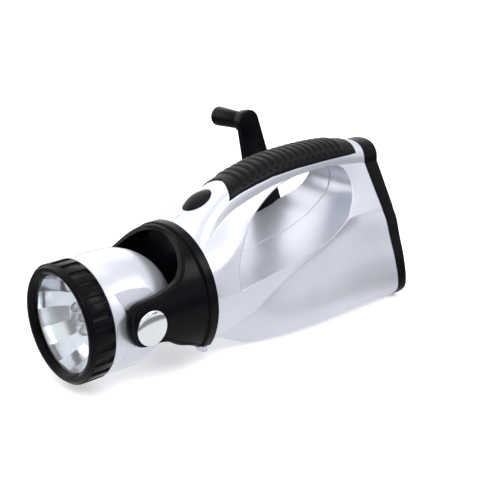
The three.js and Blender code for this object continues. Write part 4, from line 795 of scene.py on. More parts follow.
def behind_seam(gap: float) -> Solid:
    """What lies behind the leaning seam in front of the rear cover, moved back by a gap."""
    lean = SEAM_LEAN / (FORM.rear_top + FORM.rear_drop)
    low, high = (FORM.length + gap - lean * (z + FORM.rear_drop) for z in (-REACH, REACH))
    return prism([(low, -REACH), (2 * REACH, -REACH), (2 * REACH, REACH), (high, REACH)])


# Screws


@dataclass
class CrossScrew:
    """A pan-head screw with a cross recess."""

    shank_radius: float = 1.4
    head_radius: float = 2.8
    head: float = 2.0
    length: float = 18.0
    recess_width: float = 0.7
    recess_span: float = 3.2
    recess_depth: float = 1.1
    point: float = 0.6
    crown: tuple[Point, ...] = ((-0.1, 0.55), (-0.5, 0.88), (-1.0, 1.0))  # mm from the top, share of the radius
    steps: int = 32

    def build(self, node: str, axis: str, top: Vector, body: Body = Body.BODY) -> Piece:
        """Builds a screw whose head's top is at a place.

        Args:
            node: The solid it stands for.
            axis: The axis that its head faces along, "X" or "Y".
            top: Middle of the head's top, in the frame.
            body: What it rides on.

        Returns:
            The finished piece.
        """
        end = -self.head - self.length
        profile = [
            (0, 0), *((x, self.head_radius * share) for x, share in self.crown), (-self.head, self.head_radius),
            (-self.head, self.shank_radius), (end + self.point, self.shank_radius), (end, 0),
        ]
        piece = as_object(node + "_turned", turned(profile, self.steps, axis, top))
        for turn in (0.0, math.pi / 2):
            cut(piece, self.slot_tool(axis, top, turn))
        return finished(piece, ZINC_STEEL, body, node)

    def slot_tool(self, axis: str, top: Vector, turn: float) -> Solid:
        """One bar of the cross recess."""
        deep, wide = 2 * self.recess_depth, self.recess_width
        size = (deep, wide, self.recess_span) if axis == "X" else (wide, deep, self.recess_span)
        return swung(cube(size), turn, axis, top)


SHELL_SCREWS = {
    "front_low": (22, -22), "front_high": (33, 40.5), "middle_low": (47, -25.5),
    "rear_low": (129.6, -27.2), "rear_high": (129.6, 46),
}
COVER_SCREWS = {
    "near_low": (-32.4, -19), "far_low": (32.4, -19), "near_high": (-17.2, 27), "far_high": (17.2, 27),
}
SCREW = CrossScrew()
COVER_SCREW = CrossScrew(length=12.0)


# Body shells


@dataclass
class Shells:
    """The two lacquered halves of the body, with their bosses, feet and openings."""

    rings: int = 71
    room_rings: int = 31
    seam: float = 0.13
    foot_x: float = 8.3
    foot_y: float = 11.6
    foot_length: float = 2.6
    foot_width: float = 6.0
    pillar: float = 14.0
    bearing_radius: float = 8.5
    bearing_bore: float = 5.15
    bearing_outer: float = 38.0
    bearing_inner: float = 28.4
    screw_seat: float = 9.0
    opening: Opening = field(default_factory=Opening)

    def bosses(self) -> list[Solid]:
        """Pillars that carry the screws, and the crank's bearing."""
        made = []
        for x, z in SHELL_SCREWS.values():
            made.append(turned(bar(-REACH, REACH, BOSS_RADIUS), PILLAR_STEPS, "Y", spot(x, 0, z)))
        for y, z in COVER_SCREWS.values():
            pillar = bar(FORM.length - self.pillar, FORM.length, BOSS_RADIUS)
            made.append(turned(pillar, PILLAR_STEPS, "X", spot(0, y, z)))
        bearing = bar(self.bearing_inner, self.bearing_outer, self.bearing_radius)
        made.append(turned(bearing, BORE_STEPS, "Y", HUB))
        return made

    def holes(self) -> list[Solid]:
        """What the screws, the collar's spigot and the crank's bush pass through."""
        made = []
        shank, head = SCREW.shank_radius + SEAT_GAP, SCREW.head_radius + FIT_GAP
        end = self.screw_seat - SCREW.length - FIT_GAP
        for x, z in SHELL_SCREWS.values():
            profile = stepped(end, (shank, self.screw_seat), (head, REACH))
            made.append(turned(profile, PILLAR_STEPS, "Y", spot(x, 0, z)))
        for y, z in COVER_SCREWS.values():
            start = TAIL - COVER_SCREW.length - OVERRUN
            made.append(turned(bar(start, FORM.length + OVERRUN, shank), PILLAR_STEPS, "X", spot(0, y, z)))
        seat = bar(-OVERRUN, SPIGOT_LENGTH + FIT_GAP, SPIGOT_RADIUS + SEAT_GAP)
        made.append(combined(turned(seat, SPIGOT_STEPS), CHIN.solid(WALL)))
        bore = bar(self.bearing_inner - OVERRUN, self.bearing_outer + OVERRUN, self.bearing_bore)
        made.append(turned(bore, BORE_STEPS, "Y", HUB))
        made.append(SWITCH.drum(FIT_GAP, -SWITCH.hole_depth, OVERRUN))
        return made

    def feet(self) -> list[Solid]:
        """The two front feet."""
        half_x, half_y = self.foot_length / 2, self.foot_width / 2
        return [
            block(
                (self.foot_x - half_x, self.foot_x + half_x),
                (side * self.foot_y - half_y, side * self.foot_y + half_y),
                (GROUND, WALL / 2 - CHIN.drop),
            )
            for side in (-1, 1)
        ]

    def build(self) -> list[Piece]:
        """Builds both halves."""
        outer = as_object("body_form", FORM.solid(0, 0, FORM.length, self.rings, FINE_SPAN))
        cut(outer, self.opening.solid(0))
        cut(outer, CHIN.solid(0))
        whole = copied(outer, "whole")
        ends = (-OVERRUN, FORM.length + OVERRUN)
        room = as_object("room", FORM.solid(-WALL, *ends, self.room_rings, COARSE_SPAN))
        cut(room, self.opening.solid(WALL))
        cut(room, CHIN.solid(WALL))
        for foot in self.feet():
            cut(whole, foot, Cut.JOIN)
        cut(whole, mesh_of(room))
        for boss in self.bosses():
            cut(whole, combined(boss, mesh_of(outer), Cut.KEEP), Cut.JOIN)
        for tool in [*self.holes(), PAD.seat(), behind_seam(0)]:
            cut(whole, tool)
        halves = []
        for side, name in ((-1, "body_shell_near"), (1, "body_shell_far")):
            half = copied(whole, name + "_lacquered")
            cut(half, block((-REACH, 2 * REACH), on_side(side, self.seam, REACH), (-REACH, REACH)), Cut.KEEP)
            halves.append(finished(half, SILVER_LACQUER, Body.BODY, name, sharp=12.0))
        for helper in (outer, whole, room):
            bpy.data.objects.remove(helper, do_unlink=True)
        for place, (x, z) in SHELL_SCREWS.items():
            top = spot(x, self.screw_seat + SCREW.head + SEAT_GAP / 2, z)
            SCREW.build("shell_screw_" + place, "Y", top)
        return halves


# Grip pad


@dataclass
class GripPad:
    """The ribbed rubber pad that is let into the handle."""

    front: float = 29.5
    front_slant: float = 5.0
    rear: float = 128.5
    edge_front_z: float = 44.8
    edge_rear_z: float = 53.4
    edge_shares: tuple[Point, ...] = (
        (0, 0), (0.08, 0.3), (0.2, 0.6), (0.32, 0.84), (0.5, 0.98), (0.75, 1.02), (0.96, 1), (1, 1),
    )
    depth: float = 1.0
    proud: float = 0.7
    border: float = 1.1
    corner: float = 5.0
    rib_count: int = 17
    rib_pitch: float = 4.7
    rib_half_width: float = 1.75
    rib_height: float = 0.8
    rib_front: float = 41.35
    rib_half_span: float = 10.6
    rib_fade: float = 1.6  # mm over which a rib ends, of which this much lies past its half span
    rib_past: float = 0.6
    rib_crown: float = 0.7  # below one for a blunter rib
    sections_per_mm: int = 4
    columns: int = 330
    rows: int = 84
    seat_steps: int = 40

    def edge_z(self, x: float) -> float:
        """Height of the pad's lower edge at a place along the handle."""
        share = (x - self.front) / (self.rear - self.front)
        pairs = list(zip(self.edge_shares, self.edge_shares[1:]))
        (a0, b0), (a1, b1) = next((p for p in pairs if share <= p[1][0]), pairs[-1])
        up = mix(b0, b1, (share - a0) / (a1 - a0))
        return mix(self.edge_front_z, self.edge_rear_z, up)

    def seat(self) -> Solid:
        """The recess that the pad lies in."""
        rings = self.seat_steps + 1
        xs = [mix(self.front, self.rear, k / self.seat_steps) for k in range(rings)]
        low = [(x, self.edge_z(x)) for x in xs]
        crest = (self.front + self.front_slant, FORM.crest(self.front) + FIT_GAP)
        outline = offset_outline([*low, (self.rear, REACH), (crest[0], REACH), crest], FIT_GAP)
        start, end = self.front - 2 * OVERRUN, self.rear + 2 * OVERRUN
        return combined(prism(outline), FORM.solid(-self.depth - SEAT_GAP, start, end, rings, COARSE_SPAN))

    def crown(self, x: float) -> tuple[list[Vector], list[float]]:
        """Half a section over the handle, from the crest down to the pad's edge.

        Args:
            x: Place along the body.

        Returns:
            Points as [y, z, normal y, normal z] vectors, and how far along the curve each is.
        """
        section = FORM.section(x / FORM.length, MEASURED_SPAN)
        grown = offset_outline(section, 1.0)
        top = max(range(len(section)), key=lambda k: section[k][1])
        edge = self.edge_z(x)
        points, lengths = [], [0.0]
        for k in range(top, len(section)):
            (y, z), (gy, gz) = section[k], grown[k]
            here = Vector((y, z, gy - y, gz - z))
            if points:
                step = (here.xy - points[-1].xy).length
                if z < edge:
                    share = (points[-1].y - edge) / max(points[-1].y - z, 1e-6)
                    points.append(points[-1].lerp(here, share))
                    lengths.append(lengths[-1] + step * share)
                    break
                lengths.append(lengths[-1] + step)
            points.append(here)
        return points, lengths

    def height(self, x: float, from_front: float, y: float, from_edge: float) -> float:
        """How far the rubber stands out of the body's surface at a place."""
        ends = min(from_front, self.rear - x)
        if self.rear - x < self.corner and from_edge < self.corner:
            ends = self.corner - math.hypot(self.corner - (self.rear - x), self.corner - from_edge)
        inward = min(max(min(ends, from_edge), 0.0), self.border)
        rise = self.proud - self.border + math.sqrt(self.border**2 - (self.border - inward) ** 2)
        offset = x - self.rib_front
        nearest = min(max(round(offset / self.rib_pitch), 0), self.rib_count - 1) * self.rib_pitch
        aside = abs(offset - nearest) / self.rib_half_width
        reach = min(max((self.rib_half_span + self.rib_past - abs(y)) / self.rib_fade, 0.0), 1.0)
        rib = self.rib_height * max(1 - aside**2, 0.0) ** self.rib_crown * (1 - (1 - reach) ** 2) ** 0.5
        return rise + rib

    def build(self) -> Piece:
        """Builds the pad as one displaced skin with a thickness."""
        bm = bmesh.new()
        bmesh.ops.create_grid(bm, x_segments=self.columns, y_segments=self.rows, size=1.0)
        columns: dict[float, tuple[list[Vector], list[float]]] = {}
        for vertex in bm.verts:
            share, turn = (vertex.co.x + 1) / 2, vertex.co.y
            start = self.front + self.front_slant * (1 - abs(turn))
            x = mix(start, self.rear, share)
            key = round(x * self.sections_per_mm) / self.sections_per_mm
            if key not in columns:
                columns[key] = self.crown(key)
            points, lengths = columns[key]
            along = abs(turn) * lengths[-1]
            k = next((n for n in range(1, len(lengths)) if along <= lengths[n]), len(lengths) - 1)
            here = points[k - 1].lerp(points[k], (along - lengths[k - 1]) / max(lengths[k] - lengths[k - 1], 1e-9))
            rise = self.height(x, x - start, here.x, lengths[-1] - along)
            side = math.copysign(1.0, turn)
            vertex.co = spot(x, side * (here.x + here.z * rise), here.y + here.w * rise)
        bmesh.ops.recalc_face_normals(bm, faces=bm.faces)
        if sum(face.normal.z for face in bm.faces) < 0:
            bmesh.ops.reverse_faces(bm, faces=bm.faces)
        pad = as_object("grip_pad_ribbed", bm)
        wall = pad.modifiers.new("thickness", "SOLIDIFY")
        wall.thickness = (self.depth - FIT_GAP) * MM
        wall.offset = -1
        with_modifiers_applied(pad)
        return finished(pad, MOULDED_RUBBER, Body.BODY, "grip_pad", sharp=60.0)


# Switch


@dataclass
class Switch:
    """The egg-shaped rubber button in front of the pad."""

    x: float = 17.5
    half_length: float = 9.0
    half_width: float = 6.4
    proud: float = 1.9
    depth: float = 1.0
    flange_top: float = -2.5
    flange: float = 1.2
    lip: float = 1.4
    stem_radius: float = 2.0
    stem: float = 3.4
    hole_depth: float = 6.0
    steps: int = 96

    def frame(self) -> Matrix:
        """The place and slope of the crest at the switch."""
        rise = FORM.crest(self.x + self.half_width) - FORM.crest(self.x - self.half_width)
        slope = math.atan2(rise, 2 * self.half_width)
        place = Matrix.Translation(spot(self.x, 0, FORM.crest(self.x)))
        return place @ Matrix.Rotation(-slope, 4, "Y")

    def revolved(self, profile: Sequence[Point], half_length: float, half_width: float) -> Solid:
        """A profile of [share of the radius, height] turned into an oval solid on the crest."""
        bm = bmesh.new()
        verts = [bm.verts.new((r * MM, 0, z * MM)) for r, z in profile]
        edges = [bm.edges.new(pair) for pair in zip(verts, verts[1:])]
        turn = {"cent": (0, 0, 0), "axis": (0, 0, 1), "angle": 2 * math.pi, "steps": self.steps}
        bmesh.ops.spin(bm, geom=verts + edges, use_merge=True, **turn)
        bmesh.ops.scale(bm, vec=(half_length, half_width, 1), verts=bm.verts)
        bmesh.ops.transform(bm, matrix=self.frame(), verts=bm.verts)
        return outward(bm)

    def drum(self, gap: float, low: float, high: float) -> Solid:
        """The button's outline, grown by a gap, as a straight drum."""
        profile = [(0, low), (1, low), (1, high), (0, high)]
        return self.revolved(profile, self.half_length + gap, self.half_width + gap)

    def build(self) -> Piece:
        """Builds the button."""
        skirt_low = self.flange_top - self.flange
        lip = 1 + self.lip / self.half_length
        foot = self.stem_radius / self.half_length
        dome = [(c, -self.depth + (self.proud + self.depth) * s) for s, c in quarter(20)]
        profile = [
            (0, skirt_low - self.stem), (foot, skirt_low - self.stem), (foot, skirt_low), (lip, skirt_low),
            (lip, self.flange_top), (1, self.flange_top), *dome[:-1], (0, self.proud),
        ]
        button = as_object("switch_button_domed", self.revolved(profile, self.half_length, self.half_width))
        return finished(button, MOULDED_RUBBER, Body.SWITCH, "switch_button", sharp=45.0)


SWITCH = Switch()
PAD = GripPad()


# Rear cover


@dataclass
class RearCover:
    """The black cap on the tail, with its screws and the charging socket."""

    depth: float = 7.0
    plate: float = 2.6
    overhang: float = 0.3
    straight: float = 5.6
    inset: float = 1.4
    head_seat: float = 144.7
    socket_z: float = -20.0
    socket_width: float = 9.0
    socket_height: float = 10.0
    socket_recess: float = 0.4
    socket_bore: float = 2.9
    socket_depth: float = 9.0
    socket_pin: float = 1.0
    socket_round: float = 0.5
    socket_lead: float = 0.6  # mm by which its mouth widens
    socket_front: float = 135.75

    def front(self) -> float:
        """Where the cap starts before it is cut along the seam."""
        return FORM.length - SEAM_LEAN - OVERRUN

    def rings(self) -> list[Ring]:
        """The cap's outside, with a round edge at the tail."""
        places = [(self.front(), self.overhang), (FORM.length + self.straight, self.overhang)]
        for s, c in quarter(8)[1:]:
            x = FORM.length + self.straight + (self.depth - self.straight) * s
            places.append((x, self.overhang - self.inset * (1 - c)))
        section = FORM.section(1.0, FINE_SPAN)
        return [slice_at(x, offset_outline(section, grow)) for x, grow in places]

    def build(self) -> list[Piece]:
        """Builds the cap, its screws and the socket."""
        cover = as_object("rear_cover_moulded", loft(self.rings()))
        inner = offset_outline(FORM.section(1.0, COARSE_SPAN), -WALL)
        ends = (self.front() - OVERRUN, TAIL - self.plate)
        cut(cover, loft([slice_at(x, inner) for x in ends]))
        shank, head = SCREW.shank_radius + SEAT_GAP, SCREW.head_radius + FIT_GAP
        for y, z in COVER_SCREWS.values():
            seat = bar(self.front(), TAIL - self.plate + SEAT_GAP, BOSS_RADIUS)
            cut(cover, turned(seat, PIN_STEPS, "X", spot(0, y, z)), Cut.JOIN)
            hole = stepped(self.front() - 1, (shank, self.head_seat), (head, TAIL + OVERRUN))
            cut(cover, turned(hole, PIN_STEPS, "X", spot(0, y, z)))
        cut(cover, behind_seam(SEAT_GAP), Cut.KEEP)
        half_y, half_z = self.socket_width / 2 + FIT_GAP, self.socket_height / 2 + FIT_GAP
        z = self.socket_z
        cut(cover, block((FORM.length, TAIL + OVERRUN), (-half_y, half_y), (z - half_z, z + half_z)))
        pieces = [finished(cover, SATIN_ABS, Body.BODY, "rear_cover", sharp=30.0), self.socket()]
        for place, (y, z) in COVER_SCREWS.items():
            top = spot(TAIL - SEAT_GAP, y, z)
            pieces.append(COVER_SCREW.build("cover_screw_" + place, "X", top))
        return pieces

    def socket(self) -> Piece:
        """Builds the round charging socket in its block."""
        half_y, half_z, z = self.socket_width / 2, self.socket_height / 2, self.socket_z
        back = TAIL - self.socket_recess
        body = block((self.socket_front, back), (-half_y, half_y), (z - half_z, z + half_z))
        socket = as_object("dc_socket_bored", body)
        rounded(socket, self.socket_round, segments=3)
        floor, lead = back - self.socket_depth, self.socket_lead
        bore = [
            (floor, 0), (floor, self.socket_bore), (back - self.socket_round, self.socket_bore),
            (back - self.socket_round + lead, self.socket_bore + lead), (back + 1, 0),
        ]
        cut(socket, turned(bore, BORE_STEPS, "X", spot(0, 0, z)))
        foot = floor - SEAT_GAP
        tip = back - self.socket_pin
        pin = [(foot, 0), (foot, self.socket_pin), (tip - 0.5, self.socket_pin), (tip - 0.1, 0.6), (tip, 0)]
        cut(socket, turned(pin, PIN_STEPS, "X", spot(0, 0, z)), Cut.JOIN)
        return finished(socket, SATIN_ABS, Body.BODY, "dc_socket")


# Yoke


@dataclass
class Yoke:
    """The collar with its two arms, and the pivots at their tips."""

    flange_radius: float = 37.5
    flange_width: float = 5.8
    flange_round: float = 1.0
    root: float = 1.2  # where the fillet in front of the flange starts, and its two steps up
    root_rise: tuple[Point, ...] = ((-0.35, 0.1), (0, 0.25))
    back_radius: float = 36.2
    pivot_radius: float = 34.8
    front_x: float = -52.8
    bulkhead: float = 2.4
    spigot_wall: float = 2.0
    upper: tuple[Point, ...] = (
        (0.15, 1), (0.163, 0.93), (0.197, 0.86), (0.248, 0.73), (0.308, 0.61), (0.385, 0.515), (0.485, 0.458),
        (0.62, 0.405), (0.745, 0.382), (0.86, 0.365), (0.945, 0.31), (0.992, 0.18),
    )
    lower: tuple[Point, ...] = (
        (1, 0.04), (0.985, -0.07), (0.94, -0.17), (0.875, -0.235), (0.8, -0.255), (0.67, -0.258), (0.57, -0.29),
        (0.5, -0.355), (0.41, -0.43), (0.29, -0.495), (0.2, -0.56), (0.15, -0.618),
    )
    boss_radius: float = 8.6
    boss_inner: float = 26.0
    seat_y: float = 33.3
    cap_radius: float = 9.0
    cap_rim: float = 1.1
    cap_rise: float = 2.1
    pin_radius: float = 3.0
    bead_radius: float = 1.15
    bead_sink: float = 0.45
    bead_spacing: float = 1.4
    steps: int = 144

    def outer_radius(self, x: float) -> float:
        """Radius of the arms' outside at a place along the axis."""
        return mix(self.back_radius, self.pivot_radius, x / PIVOT_X)

    def tube(self) -> Solid:
        """The round collar before its sides are cut away."""
        front = self.outer_radius(self.front_x)
        inner = self.back_radius - WALL
        soft = self.flange_round
        corner = [(-self.flange_width + soft * (1 - c), self.flange_radius - soft * (1 - s)) for s, c in quarter(5)]
        profile = [
            (self.front_x, front - WALL), (self.front_x, front), (PIVOT_X, self.pivot_radius),
            (-self.flange_width - self.root, self.outer_radius(-self.flange_width - self.root)),
            *((x - self.flange_width, self.outer_radius(-self.flange_width) + rise) for x, rise in self.root_rise),
            *corner,
            (-SEAT_GAP - 0.3, self.flange_radius), (-SEAT_GAP, self.flange_radius - 0.3),
            (-SEAT_GAP, SPIGOT_RADIUS), (SPIGOT_LENGTH, SPIGOT_RADIUS),
            (SPIGOT_LENGTH, SPIGOT_RADIUS - self.spigot_wall),
            (self.bulkhead - self.flange_width, SPIGOT_RADIUS - self.spigot_wall),
            (self.bulkhead - self.flange_width, CABLE_HOLE), (-self.flange_width, CABLE_HOLE),
            (-self.flange_width, inner), (PIVOT_X, self.pivot_radius - WALL),
        ]
        return turned(profile, self.steps, ring=True)

    def edges(self) -> tuple[list[Point], list[Point]]:
        """The upper and lower cut edge in the side view, in mm."""
        arm = [(a * self.front_x, b * self.back_radius) for a, b in (*self.upper, *self.lower)]
        curve = spline(arm, 6)
        split = (len(self.upper)) * 6
        return curve[:split], curve[split:]

    def side(self) -> Solid:
        """The side view that the collar and its arms are cut to."""
        upper, lower = self.edges()
        back = 2 * SPIGOT_LENGTH
        spigot_low = WALL + SEAT_GAP - CHIN.drop
        below = [(-SEAT_GAP, -CHIN.drop), (-SEAT_GAP, spigot_low), (back, spigot_low)]
        return prism([(back, REACH), (upper[0][0], REACH), *upper, *lower, *below])

    def chin_floor(self) -> Solid:
        """The plate that closes the collar's underside."""
        disc = turned(bar(-REACH, REACH, SPIGOT_RADIUS + 1), BUTTON_STEPS)
        plate = block((-self.flange_width, -SEAT_GAP), (-REACH, REACH), (-CHIN.drop, WALL - CHIN.drop))
        return combined(plate, disc, Cut.KEEP)

    def bead(self) -> Solid:
        """The raised round rim along the cut edges, as a bent tube from flange to flange over the top."""
        upper, lower = self.edges()
        outline = [(SPIGOT_LENGTH, REACH), (upper[0][0], REACH), *upper, *lower, (SPIGOT_LENGTH, -CHIN.drop)]
        inset = offset_outline(outline, -self.bead_radius)[2:-1]
        foot = (1 - self.flange_width, self.bead_radius - CHIN.drop)
        path = []
        for side, line in ((-1, [foot, *reversed(inset)]), (1, [*inset, foot])):
            for x, z in line:
                radius = self.outer_radius(x) - self.bead_sink
                if abs(z) < radius - 0.02:
                    path.append(spot(x, side * math.sqrt(radius**2 - z**2), z))
        path = evened(path, self.bead_spacing)
        curve = bpy.data.curves.new("bead", "CURVE")
        curve.dimensions = "3D"
        line = curve.splines.new("POLY")
        line.points.add(len(path) - 1)
        for point, place in zip(line.points, path):
            point.co = (*place, 1)
        curve.use_fill_caps = True
        curve.bevel_depth = self.bead_radius * MM
        curve.bevel_resolution = 3
        holder = bpy.data.objects.new("bead", curve)
        bpy.context.scene.collection.objects.link(holder)
        mesh = bpy.data.meshes.new_from_object(holder)
        bpy.data.objects.remove(holder, do_unlink=True)
        bm = bmesh.new()
        bm.from_mesh(mesh)
        bpy.data.meshes.remove(mesh)
        return outward(bm)

    def build(self) -> list[Piece]:
        """Builds the collar and both pivots."""
        yoke = as_object("yoke_moulded", self.tube())
        cut(yoke, self.side(), Cut.KEEP)
        cut(yoke, self.bead(), Cut.JOIN)
        cut(yoke, self.chin_floor(), Cut.JOIN)
        skin = self.pivot_radius - WALL / 2
        for side in (-1, 1):
            def round_bar(low: float, high: float, radius: float) -> Solid:
                """A round bar along the pivot's axis on this side."""
                return turned(bar(*on_side(side, low, high), radius), HUB_STEPS, "Y", PIVOT)

            cut(yoke, round_bar(self.boss_inner, skin, self.boss_radius), Cut.JOIN)
            cut(yoke, round_bar(self.seat_y, REACH, self.cap_radius + SEAT_GAP))
            cut(yoke, round_bar(FLAT_Y, REACH, self.pin_radius + SEAT_GAP))
        collar = finished(yoke, SATIN_ABS, Body.BODY, "yoke", sharp=34.0)
        return [collar, self.cap(-1, "near"), self.cap(1, "far")]

    def cap(self, side: int, name: str) -> Piece:
        """Builds one bright domed button on a pivot."""
        foot = self.seat_y + SEAT_GAP
        dome = [(foot + self.cap_rim + self.cap_rise * s, self.cap_radius * c) for s, c in quarter(24)[:-1]]
        top = foot + self.cap_rim + self.cap_rise
        profile = [(foot, 0), (foot, self.cap_radius - 0.2), (foot + 0.2, self.cap_radius), *dome, (top, 0)]
        outward_profile = [(side * y, r) for y, r in profile]
        cap = as_object(f"pivot_cap_{name}_plated", turned(outward_profile, BUTTON_STEPS, "Y", PIVOT))
        return finished(cap, CHROME_PLATE, Body.BODY, f"pivot_cap_{name}", sharp=50.0)


def evened(path: Sequence[Vector], spacing: float) -> list[Vector]:
    """Points at an even spacing in mm along a path, with its own two ends."""
    total = sum((b - a).length for a, b in zip(path, path[1:]))
    count = round(total / (spacing * MM))
    made, walked, k = [], 0.0, 0
    for n in range(count):
        target = total * n / count
        while walked + (path[k + 1] - path[k]).length < target:
            walked += (path[k + 1] - path[k]).length
            k += 1
        made.append(path[k].lerp(path[k + 1], (target - walked) / (path[k + 1] - path[k]).length))
    return [*made, path[-1]]


# Head


@dataclass
class Head:
    """The tilting head: shell, bezel, lens, reflector and lamps."""

    dome_radius: float = 31.0
    neck_radius: float = 29.5
    belly: tuple[Point, ...] = ((-50, 30.55), (-44, 30.95))
    neck_x: float = -57.6
    sleeve_radius: float = 28.0
    sleeve_front: float = -64.0
    flat_front: float = -50.6
    slot_half: float = 9.5
    facet_y: float = 28.0
    facet_top_y: float = 24.8
    facet_top: float = 19.0
    facet_front: float = -53.6
    slot_corners: tuple[Point, ...] = ((0, 1), (0, -0.1), (0.5, -0.4), (1.9, -0.72), (4.2, -0.93), (7.0, -1))
    facet_reach: float = 12.0
    facet_taper: float = 2.0
    spot_face_y: float = 29.3
    spot_face_radius: float = 16.9
    pin_radius: float = 3.1
    bezel_rear: float = -57.9
    bezel_front: float = -71.3
    bezel_radius: float = 30.7
    lip_radius: float = 29.7
    lip_round: Point = (1.5, 1.6)  # mm along and inwards of the lip's outer round, then of its inner one
    lip_inner: Point = (0.45, 0.5)
    lip_land: float = 2.6
    lens_opening: float = 24.9
    lens_seat: float = -69.1
    lens_radius: float = 27.9
    lens_thickness: float = 2.0
    lens_crown: float = 0.5
    pockets: int = 24
    pocket_width: float = 4.1
    pocket_depth: float = 0.9
    pocket_corner: float = 1.1
    pocket_soft: float = 0.35
    pocket_front: float = -69.2
    pocket_rear: float = -59.1
    reflector_rim: float = 27.6
    reflector_mouth: float = 25.4
    reflector_base: float = 11.0
    reflector_base_x: float = -50.2
    reflector_wall: float = 1.1
    reflector_facets: int = 16
    reflector_curve: tuple[Point, ...] = ((0, 1), (0.2, 0.93), (0.42, 0.82), (0.65, 0.66), (0.84, 0.42), (1, 0))
    seal: float = 1.4
    led_radius: float = 2.5
    led_flange: float = 2.9
    led_flange_height: float = 0.8
    led_step: float = 1.0
    led_length: float = 8.6
    led_ring: float = 7.0
    led_count: int = 6
    steps: int = 144

    def dome(self, shrink: float) -> list[Point]:
        """The round back of the head, from its widest place to the axis."""
        radius = self.dome_radius - shrink
        return [
            (PIVOT_X + radius * math.cos(t), radius * math.sin(t))
            for t in (math.pi / 2 * (1 - k / 28) for k in range(28))
        ] + [(PIVOT_X + radius, 0)]

    def shell(self) -> Piece:
        """Builds the lacquered shell with its two side flats."""
        outer = [
            (self.sleeve_front, 0), (self.sleeve_front, self.sleeve_radius), (self.neck_x, self.sleeve_radius),
            (self.neck_x, self.neck_radius - 0.4), (self.neck_x + 0.15, self.neck_radius),
            *spline([(self.neck_x + 0.3, self.neck_radius + 0.05), *self.belly, (PIVOT_X, self.dome_radius)], 6),
            *self.dome(0)[1:],
        ]
        inner_radius = self.sleeve_radius - WALL
        inner = [
            (self.sleeve_front - OVERRUN, 0), (self.sleeve_front - OVERRUN, inner_radius),
            (self.neck_x, inner_radius), *self.dome(WALL),
        ]
        shell = as_object("head_shell_lacquered", turned(outer, self.steps))
        room = as_object("room", turned(inner, HUB_STEPS))
        for side in (-1, 1):
            outline = [(self.flat_front + a, self.slot_half * b) for a, b in self.slot_corners]
            outline += [(REACH, -self.slot_half), (REACH, self.slot_half)]
            cut(shell, prism(outline, *on_side(side, FLAT_Y, REACH)))
            spot_face = bar(*on_side(side, self.spot_face_y, REACH), self.spot_face_radius)
            cut(shell, turned(spot_face, BUTTON_STEPS, "Y", PIVOT))
            for up in (-1, 1):
                cut(shell, self.facet(side, up))
            inside = on_side(side, FLAT_Y - WALL, REACH)
            cut(room, block((self.flat_front - WALL, REACH), inside, (-REACH, REACH)))
        cut(shell, mesh_of(room))
        bpy.data.objects.remove(room, do_unlink=True)
        cut(shell, turned(bar(-REACH, REACH, self.pin_radius), BORE_STEPS, "Y", PIVOT))
        cut(shell, turned(bar(PIVOT_X, REACH, CABLE_HOLE), BORE_STEPS))
        return finished(shell, SILVER_LACQUER, Body.HEAD, "head_shell", sharp=12.0)

    def facet(self, side: int, up: int) -> Solid:
        """What is cut away above or below a side's flat to leave a sloping facet."""
        slope = (self.facet_y - self.facet_top_y) / (self.facet_top - self.slot_half)
        rise = self.facet_reach / slope
        places = [(self.sleeve_front, self.facet_taper), (PIVOT_X, 0.0), (REACH, 0.0)]
        rings = []
        for x, inward in places:
            section = [
                (self.facet_y - inward, self.slot_half),
                (self.facet_y - inward - self.facet_reach, self.slot_half + rise),
                (REACH, self.slot_half + rise), (REACH, self.slot_half),
            ]
            rings.append(slice_at(x, [(side * y, up * z) for y, z in section]))
        lean = (self.flat_front - self.facet_front) / (self.facet_top - self.slot_half)
        high = self.slot_half + rise + OVERRUN
        outline = [
            (self.flat_front, up * (self.slot_half - 1)), (self.flat_front, up * self.slot_half),
            (self.flat_front - lean * (high - self.slot_half), up * high), (REACH, up * high),
            (REACH, up * (self.slot_half - 1)),
        ]
        return combined(loft(rings), prism(outline), Cut.KEEP)

    def pocket(self, turn: float) -> Solid:
        """One finger pocket's cutting tool, with round corners."""
        bm = cube((self.pocket_rear - self.pocket_front, self.pocket_width, OVERRUN))
        for lowest, radius, segments in ((False, self.pocket_corner, 4), (True, self.pocket_soft, 2)):
            floor = [e for e in bm.edges if all(v.co.z < 0 for v in e.verts)]
            upright = [e for e in bm.edges if abs((e.verts[0].co - e.verts[1].co).z) > MM]
            bmesh.ops.bevel(
                bm, geom=floor if lowest else upright, offset=radius * MM, offset_type="OFFSET", affect="EDGES",
                segments=segments, profile=0.5, material=-1,
            )
        middle = (self.pocket_rear + self.pocket_front) / 2
        up = self.bezel_radius - self.pocket_depth + OVERRUN / 2
        bmesh.ops.translate(bm, vec=(0, 0, up * MM), verts=bm.verts)
        return outward(swung(bm, turn, "X", spot(middle, 0, 0)))

    def bezel(self) -> Piece:
        """Builds the black ring with its finger pockets and its round lip."""
        bore = self.lens_radius + FIT_GAP
        long, deep = self.lip_round
        lip = [(self.bezel_front + long - long * s, self.lip_radius - deep + deep * c) for s, c in quarter(7)]
        long, deep = self.lip_inner
        start = self.lip_radius - self.lip_land
        inner = [(self.bezel_front + long * (1 - c), start - deep * s) for s, c in quarter(3)]
        profile = [
            (self.bezel_rear, bore), *eased(self.bezel_rear, self.bezel_radius, -0.6, 0.2),
            (self.pocket_front + 0.2, self.bezel_radius),
            (self.pocket_front - 0.25, self.bezel_radius - 0.2), *lip, *inner,
            (self.lens_seat, self.lens_opening), (self.lens_seat, bore),
        ]
        bezel = as_object("bezel_ring_moulded", turned(profile, BEZEL_STEPS, ring=True))
        cut(bezel, joined(self.pocket(2 * math.pi * (k + 0.5) / self.pockets) for k in range(self.pockets)))
        return finished(bezel, SATIN_ABS, Body.HEAD, "bezel_ring", sharp=36.0)

